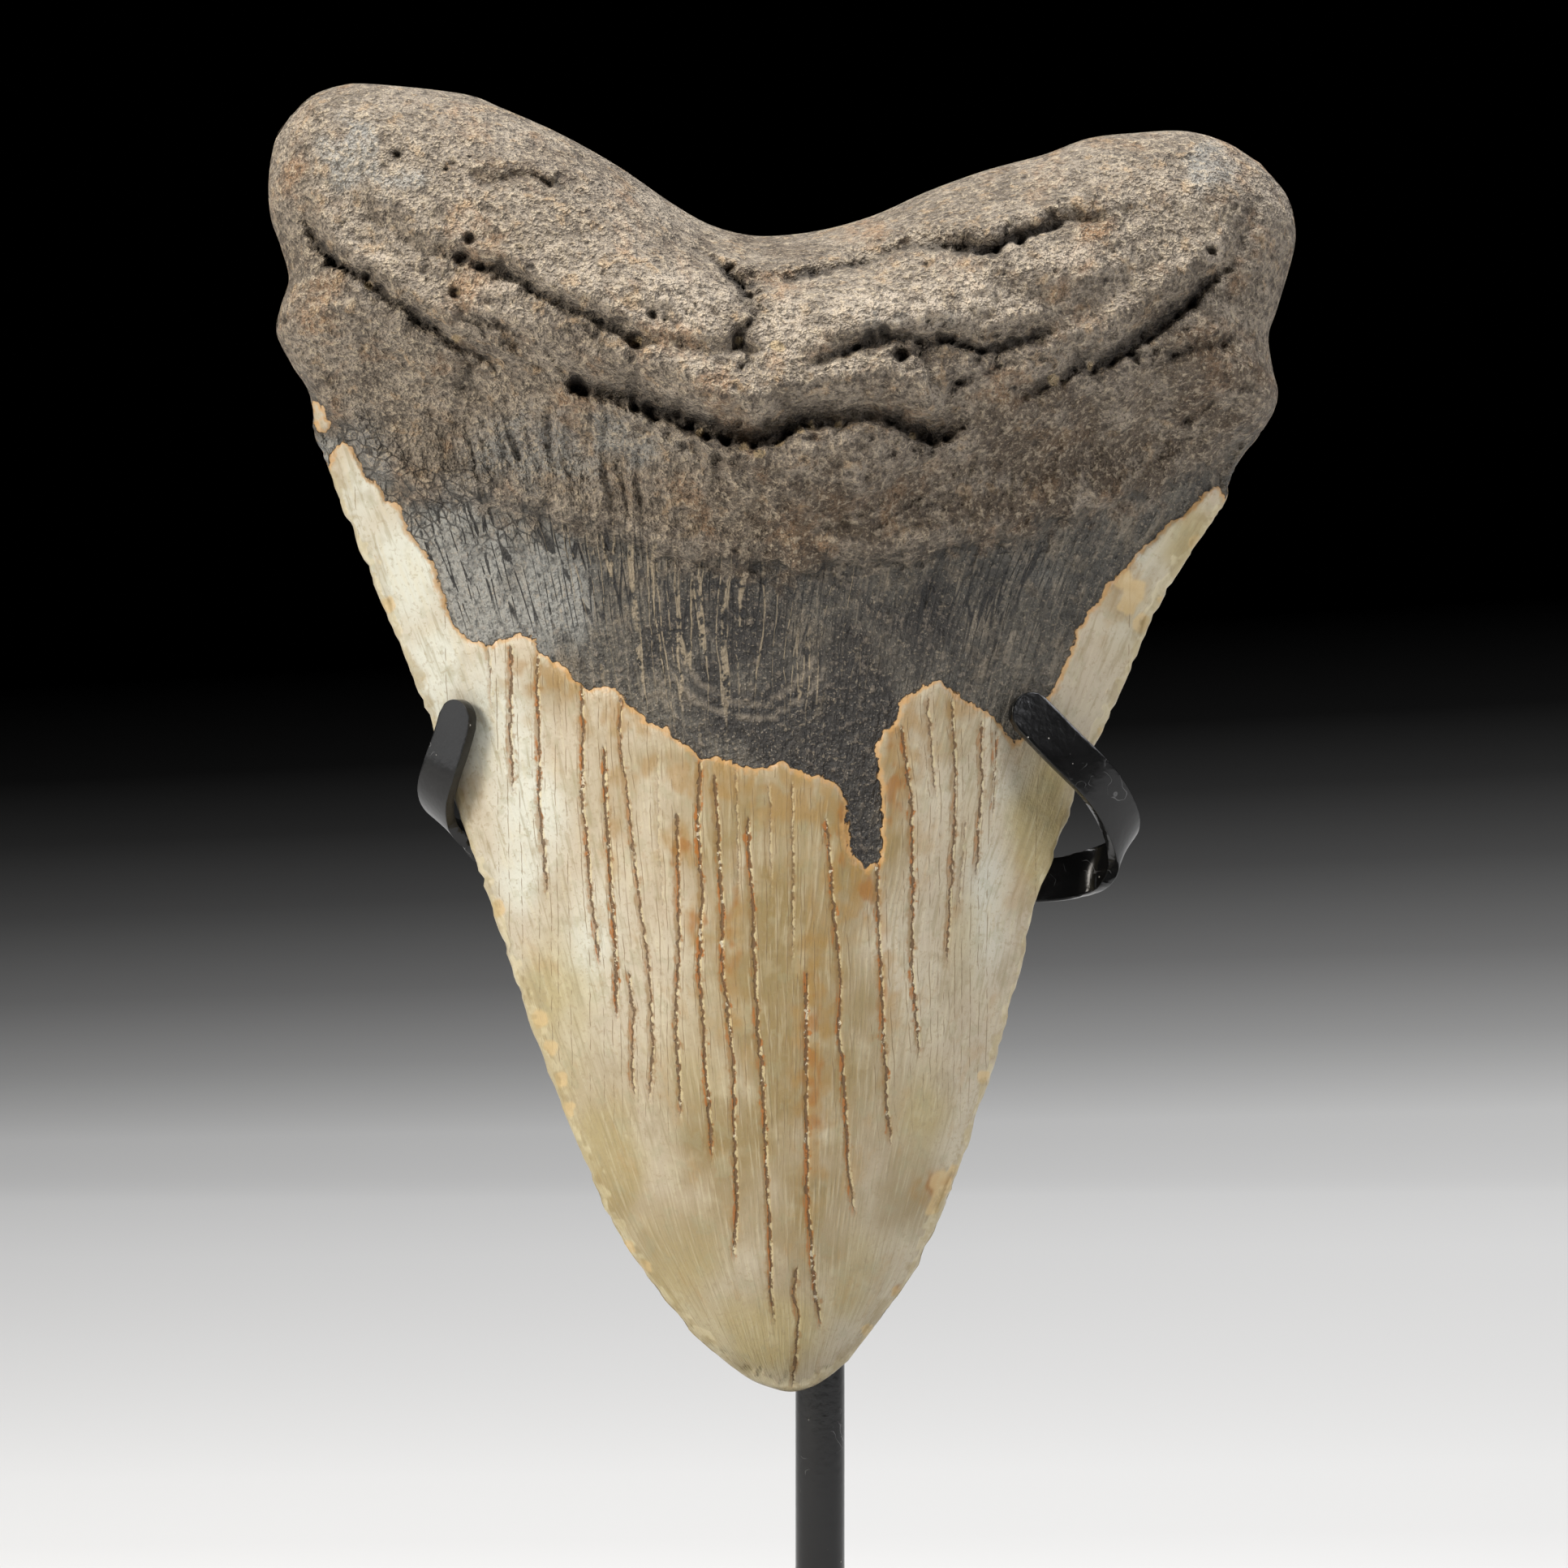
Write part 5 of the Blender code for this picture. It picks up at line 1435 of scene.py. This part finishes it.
# Stain, seeping rust, the crack's light lip and the white crystals in it
HALO_SHIFT = 0.15
halo_mm = add(tree, "MapRange", (noises["crumbs"], 0.3, 0.7, -0.35, 0.45))
halo_side = add(tree, "Math", (beside, HALO_SHIFT), **PLUS)
halo_side = add(tree, "Math", (halo_side,), **UNSIGNED)
halo_mm = add(tree, "Math", (halo_side, halo_mm), **PLUS)
halo = overlap(halo_mm, 0.75, 0.05, (kept["opened"],))
seep_where = add(tree, "MapRange", (streaks, 0.46, 0.56), **SMOOTH)
seep = overlap(halo_mm, 0.45, 0.0, (kept["seep"], kept["opened"], seep_where))
lip_start = add(tree, "MapRange", (beside, 0.0, 0.14), **SMOOTH)
lip_where = add(tree, "MapRange", (noises["crumbs"], 0.46, 0.58), **SMOOTH)
lip = overlap(beside, 0.45, 0.22, (lip_start, lip_where, kept["opened"]))
crystal_spots = add(tree, "MapRange", (noises["spots"], 0.56, 0.63), **SMOOTH)
crystal_grains = add(tree, "MapRange", (noises["grains"], 0.50, 0.56), **SMOOTH)
crystal = (crystal_spots, crystal_grains, kept["opened"], kept["seep"])
crystal = overlap(crack_mm, 0.24, 0.06, crystal)

# Distance from the rim and from the edge of the enamel, made ragged
worn_mm = add(tree, "MapRange", (noises["spots"], 0.3, 0.7, -1.3, 1.3))
worn_mm = add(tree, "Math", (kept["rim"], worn_mm), **PLUS)
border = add(tree, "MapRange", (noises["crumbs"], 0.3, 0.7, -0.25, 0.25))
border = add(tree, "Math", (kept["enamel"], border), **PLUS)
ENAMEL_LAYERS = [
    (noises["broad"], 0.42, 0.60, 0.6, "#b5ac98"),
    (kept["pale"], 0.1, 0.9, 0.9, "#c2c3b7"),
    (kept["olive"], 0.1, 0.9, 0.8, "#9c8c5a"),
    (kept["ochre"], 0.0, 0.95, 0.95, "#7f6b3f"),
    (noises["blotch"], 0.52, 0.68, 0.22, "#bfb79b"),
    (noises["blotch"], 0.46, 0.32, 0.35, "#8e8060"),
    (streaks, 0.52, 0.66, 0.3, "#bfb699"),
    (streaks, 0.47, 0.34, 0.4, "#82754f"),
    (warm, 0.54, 0.68, 0.3, "#997944"),
    (noises["spots"], 0.54, 0.66, 0.3, "#8f8b6c"),
    (noises["grains"], 0.57, 0.66, 0.35, "#8b7b5b"),
    (kept["tawny"], 0.15, 0.9, 0.5, "#8d6a2c"),
    (kept["rusty"], 0.3, 1.0, 0.7, "#8a5813"),
    (hair, 0.1, 0.8, 0.65, "#6a5432"),
    (kept["flake"], 0.3, 0.8, 0.4, "#cdc29f"),
    (kept["scar"], 0.3, 0.8, 0.7, "#c2a878"),
    (worn_mm, 1.1, 0.1, 0.45, "#8d7c52"),
    (border, 0.70, 0.15, 0.75, "#b58a52"),
    (halo, 0.1, 1.0, 0.6, "#82602c"),
    (seep, 0.1, 0.7, 0.85, "#9a5c1a"),
    (lip, 0.1, 0.8, 0.5, "#cbbb90"),
    (crack, 0.15, 0.8, 0.85, "#563d1e"),
    (crystal, 0.1, 0.6, 0.65, "#d8cfb4"),
]
enamel_colour = lay_colours("#ada08a", ENAMEL_LAYERS)
on_enamel = add(tree, "MapRange", (border, -0.06, 0.10), **SMOOTH)
tooth_colour = add(tree, "Mix", {0: on_enamel, 6: core_colour, 7: enamel_colour}, 2, **COLOUR)
tree.links.new(tooth_colour, shader.inputs["Base Color"])
print("colours of the enamel:", len(ENAMEL_LAYERS) + 1)

# %% [markdown]
# ## Shine and fine relief of the tooth
#
# The root is matt and sandy. The band has a dull gloss with its splits, and the enamel, polished
# by use and then dulled by the sea, is the smoothest. The fine bumps are as deep as real grain,
# a tenth or two of a millimetre on the root and a few hundredths on the enamel.

# %% Shine and relief
TOOTH_IOR = 1.5

core_rough = add(tree, "MapRange", (on_band, 0.0, 1.0, 0.88, 0.55))
enamel_rough = add(tree, "MapRange", (noises["blotch"], 0.3, 0.7, 0.34, 0.52))
roughness = add(tree, "Mix", {0: on_enamel, 2: core_rough, 3: enamel_rough})
tree.links.new(roughness, shader.inputs["Roughness"])
shader.inputs["IOR"].default_value = TOOTH_IOR

bare = add(tree, "Math", (1.0, on_enamel), **MINUS)
grainy = add(tree, "MapRange", (on_band, 0.0, 1.0, 1.0, 0.35))
grainy = add(tree, "Math", (grainy, bare), **TIMES)
banded = add(tree, "Math", (on_band, bare), **TIMES)
cut = add(tree, "Math", (splits, crazes), operation="MAXIMUM")
cut = add(tree, "Math", (0.0, cut), **MINUS)
groove = add(tree, "Math", (0.0, crack), **MINUS)
# Height, where it shows, and how deep it is in millimetres
BUMPS = [
    (noises["spots"], grainy, 1.9), (noises["crumbs"], grainy, 1.5),
    (noises["grains"], grainy, 1.1), (noises["sand"], grainy, 0.35), (streaks, banded, 0.7),
    (noises["crumbs"], banded, 0.4), (cut, bare, 0.20), (vein, banded, 0.18),
    (streaks, on_enamel, 0.16), (noises["spots"], on_enamel, 0.16),
    (noises["grains"], on_enamel, 0.06), (groove, on_enamel, 0.08),
]
relief = 0.0
for height, where, depth in BUMPS:
    height = add(tree, "Math", (height, where), **TIMES)
    relief = add(tree, "Math", (height, depth, relief), operation="MULTIPLY_ADD")
normal = add(tree, "Bump", {"Height": relief, "Distance": MM, "Strength": 1.0})
tree.links.new(normal, shader.inputs["Normal"])
tooth.data.materials.clear()
tooth.data.materials.append(fossil)
print("bumps:", len(BUMPS))

# %% [markdown]
# ## The arms
#
# Each arm is a flat steel strip, bent into a hook. It starts as a flat grid that is laid along
# the middle line of the CAD arm. The strip's half-round end is made by shortening the grid's
# outer columns. Solidify then gives it thickness, and Bevel rounds its edges as thick paint does.

# %% Arms
ARM_WIDTH = 4.8 * MM
ARM_THICKNESS = 1.2 * MM
ARM_ROUNDING = 0.28 * MM
ARM_ALONG = 220
ARM_ACROSS = 14
ARM_FINE = 2000
ARM_STEP = 0.001
ARM_BEVELS = 3
ARM_BEVEL_ANGLE = math.radians(50.0)
ARM_SMOOTH_ANGLE = math.radians(40.0)
# Place on the sheet and Y in millimetres of the middle line, and the way the strip's width runs
RIGHT_ARM = [
    ((1014, 1088, -3.7), (0.0, 0.0, 1.0)),
    ((1130, 1088, -3.7), (0.0, 0.0, 1.0)),
    ((1284, 1086, -3.7), (0.0, 0.0, 1.0)),
    ((1337, 1078, -4.0), (0.05, 0.0, 1.0)),
    ((1366, 1065, -5.2), (0.2, 0.0, 0.98)),
    ((1384, 1043, -7.6), (0.38, 0.03, 0.92)),
    ((1379, 1010, -10.6), (0.52, 0.12, 0.84)),
    ((1352, 966, -13.7), (0.62, 0.28, 0.73)),
    ((1304, 918, -15.3), (0.62, 0.3, 0.72)),
    ((1249, 862, -16.5), (0.62, 0.3, 0.72)),
]
LEFT_ARM = [
    ((1008, 1088, -3.7), (0.0, 0.0, 1.0)),
    ((850, 1078, -3.7), (0.0, 0.0, 1.0)),
    ((700, 1060, -3.7), (0.0, 0.0, 1.0)),
    ((600, 1043, -3.7), (0.0, 0.0, 1.0)),
    ((567, 1028, -4.2), (0.0, 0.0, 1.0)),
    ((541, 1006, -6.0), (-0.2, 0.1, 0.95)),
    ((536, 980, -8.6), (-0.42, 0.4, 0.8)),
    ((545, 948, -10.5), (-0.66, 0.55, 0.45)),
    ((558, 912, -11.7), (-0.72, 0.62, 0.3)),
    ((572, 864, -12.9), (-0.72, 0.66, 0.2)),
]


def apply_modifiers(thing):
    """Turn the piece's modifiers into plain mesh."""
    make_active(thing)
    for modifier in list(thing.modifiers):
        bpy.ops.object.modifier_apply(modifier=modifier.name)


def lay_arm(name, route):
    """Make one arm as a strip that follows its route."""
    arm = add_grid(name, ARM_ALONG, ARM_ACROSS)
    flat = read_points(arm)
    across = 2.0 * flat[:, 1]
    places = on_sheet([place[:2] for place, _ in route])
    middle = [(x, place[2] * MM, z) for (x, z), (place, _) in zip(places, route)]
    widths = [width for _, width in route]
    fine = smooth_line(middle, np.linspace(0.0, 1.0, ARM_FINE))
    length = np.sum(np.linalg.norm(np.diff(fine, axis=0), axis=1))
    radius = 0.5 * ARM_WIDTH
    half_round = np.sqrt(np.clip(1.0 - across ** 2, 0.0, 1.0))
    share = (flat[:, 0] + 0.5) * (1.0 - radius * (1.0 - half_round) / length)
    heading = smooth_line(middle, share + ARM_STEP) - smooth_line(middle, share - ARM_STEP)
    heading /= np.linalg.norm(heading, axis=1)[:, None]
    sideways = smooth_line(widths, share)
    sideways -= heading * np.sum(sideways * heading, axis=1)[:, None]
    sideways /= np.linalg.norm(sideways, axis=1)[:, None]
    laid = smooth_line(middle, share) + sideways * (across * radius)[:, None]
    arm.data.vertices.foreach_set("co", laid.ravel())
    solidify = arm.modifiers.new("thickness", "SOLIDIFY")
    solidify.thickness = ARM_THICKNESS
    solidify.offset = 0.0
    bevel = arm.modifiers.new("rounding", "BEVEL")
    bevel.width = ARM_ROUNDING
    bevel.segments = ARM_BEVELS
    bevel.limit_method = "ANGLE"
    bevel.angle_limit = ARM_BEVEL_ANGLE
    apply_modifiers(arm)
    face_outwards(arm)
    bpy.ops.object.shade_smooth_by_angle(angle=ARM_SMOOTH_ANGLE)
    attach(arm, "root")
    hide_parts(name.replace("_strip", ""))
    return arm


right_arm = lay_arm("right_arm_strip", RIGHT_ARM)
left_arm = lay_arm("left_arm_strip", LEFT_ARM)
triangles = [len(polygon.vertices) - 2 for polygon in right_arm.data.polygons]
print("triangles of an arm:", sum(triangles))

# %% [markdown]
# ## The rod and the base
#
# A round steel rod stands in the middle of a square block. Both take their sizes from the CAD
# solids. The base isn't in the photograph, so it is a plain block with softly rounded edges.

# %% Rod and base
ROD_ROUNDING = 0.3 * MM
BASE_ROUNDING = 0.8 * MM
BLOCK_BEVELS = 4
BLOCK_SMOOTH_ANGLE = math.radians(35.0)
ROD_SIDES = 96


def finish_block(name, node, width):
    """Give the new primitive the size and place of its node, and round its sharp edges."""
    thing = bpy.context.object
    thing.name = name
    low, high = (Vector(corner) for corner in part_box(node))
    size, middle = high - low, 0.5 * (low + high)
    for vertex in thing.data.vertices:
        vertex.co = [a * b + c for a, b, c in zip(vertex.co, size, middle)]
    bevel = thing.modifiers.new("rounding", "BEVEL")
    bevel.width = width
    bevel.segments = BLOCK_BEVELS
    bevel.limit_method = "ANGLE"
    apply_modifiers(thing)
    bpy.ops.object.shade_smooth_by_angle(angle=BLOCK_SMOOTH_ANGLE)
    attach(thing, "root")
    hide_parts(node)
    return thing


deselect()
bpy.ops.mesh.primitive_cylinder_add(vertices=ROD_SIDES, radius=0.5, depth=1.0)
rod = finish_block("rod_round", "rod", ROD_ROUNDING)
deselect()
bpy.ops.mesh.primitive_cube_add(size=1.0)
base = finish_block("base_block", "base", BASE_ROUNDING)
print("rod and base are in place")

# %% [markdown]
# ## Black paint
#
# The stand is steel that was brushed with black paint and dried to a soft gloss. The flat faces
# look nearly black and only the bends catch a light. Dust has settled on it, and handling left a
# few short scratches. Both are drawn coarser than they are, or they would not show.

# %% Paint
CLOUD_SIZE = 6.0 * MM
RIPPLE_SIZE = 0.8 * MM
RIPPLE_DEPTH = 0.03 * MM
DUST_SPACING = 1.2 * MM
SCRATCH_SIZE = 2.0 * MM
SCRATCH_TURN = (0.5, 0.3, 0.7)
SCRATCH_STRETCH = (1.0, 0.16, 1.0)
PAINT_IOR = 1.42

paint = bpy.data.materials.new("black_paint_brushed_on_steel")
paint.use_nodes = True
tree = paint.node_tree
shader = tree.nodes["Principled BSDF"]
shader.inputs["IOR"].default_value = PAINT_IOR
place = add(tree, "TexCoord", out="Object")
cloud = add(tree, "TexNoise", {"Vector": place, "Scale": 1.0 / CLOUD_SIZE, "Detail": 4.0})
ripple = add(tree, "TexNoise", {"Vector": place, "Scale": 1.0 / RIPPLE_SIZE, "Detail": 3.0})
specks = add(tree, "TexVoronoi", {"Vector": place, "Scale": 1.0 / DUST_SPACING})
chosen = add(tree, "TexVoronoi", {"Vector": place, "Scale": 1.0 / DUST_SPACING}, 1)
chosen = add(tree, "SeparateColor", (chosen,))
chosen = add(tree, "MapRange", (chosen, 0.72, 0.76))
dust = overlap(specks, 0.09, 0.05, (chosen,))
slanted = {"Vector": place, "Rotation": SCRATCH_TURN, "Scale": SCRATCH_STRETCH}
slanted = add(tree, "Mapping", slanted)
scratches = add(tree, "TexNoise", {"Vector": slanted, "Scale": 1.0 / SCRATCH_SIZE, "Detail": 1.0})
scratches = add(tree, "Math", (scratches, 0.5), **MINUS)
scratches = add(tree, "Math", (scratches,), **UNSIGNED)
where = add(tree, "MapRange", (cloud, 0.56, 0.62), **SMOOTH)
scratches = overlap(scratches, 0.012, 0.004, (where,))
colour = add(tree, "RGB")
colour.default_value = srgb("#070707")
for share, code in ((cloud, "#0d0d0d"), (scratches, "#4a4a4a"), (dust, "#a8a59e")):
    colour = add(tree, "Mix", {0: share, 6: colour, 7: srgb(code)}, 2, **COLOUR)
tree.links.new(colour, shader.inputs["Base Color"])
rough = add(tree, "MapRange", (cloud, 0.3, 0.7, 0.15, 0.23))
rough = add(tree, "Math", (rough, dust), operation="MAXIMUM")
tree.links.new(rough, shader.inputs["Roughness"])
normal = add(tree, "Bump", {"Height": ripple, "Distance": RIPPLE_DEPTH, "Strength": 1.0})
tree.links.new(normal, shader.inputs["Normal"])
for piece in (right_arm, left_arm, rod, base):
    piece.data.materials.clear()
    piece.data.materials.append(paint)
print("stand is painted")
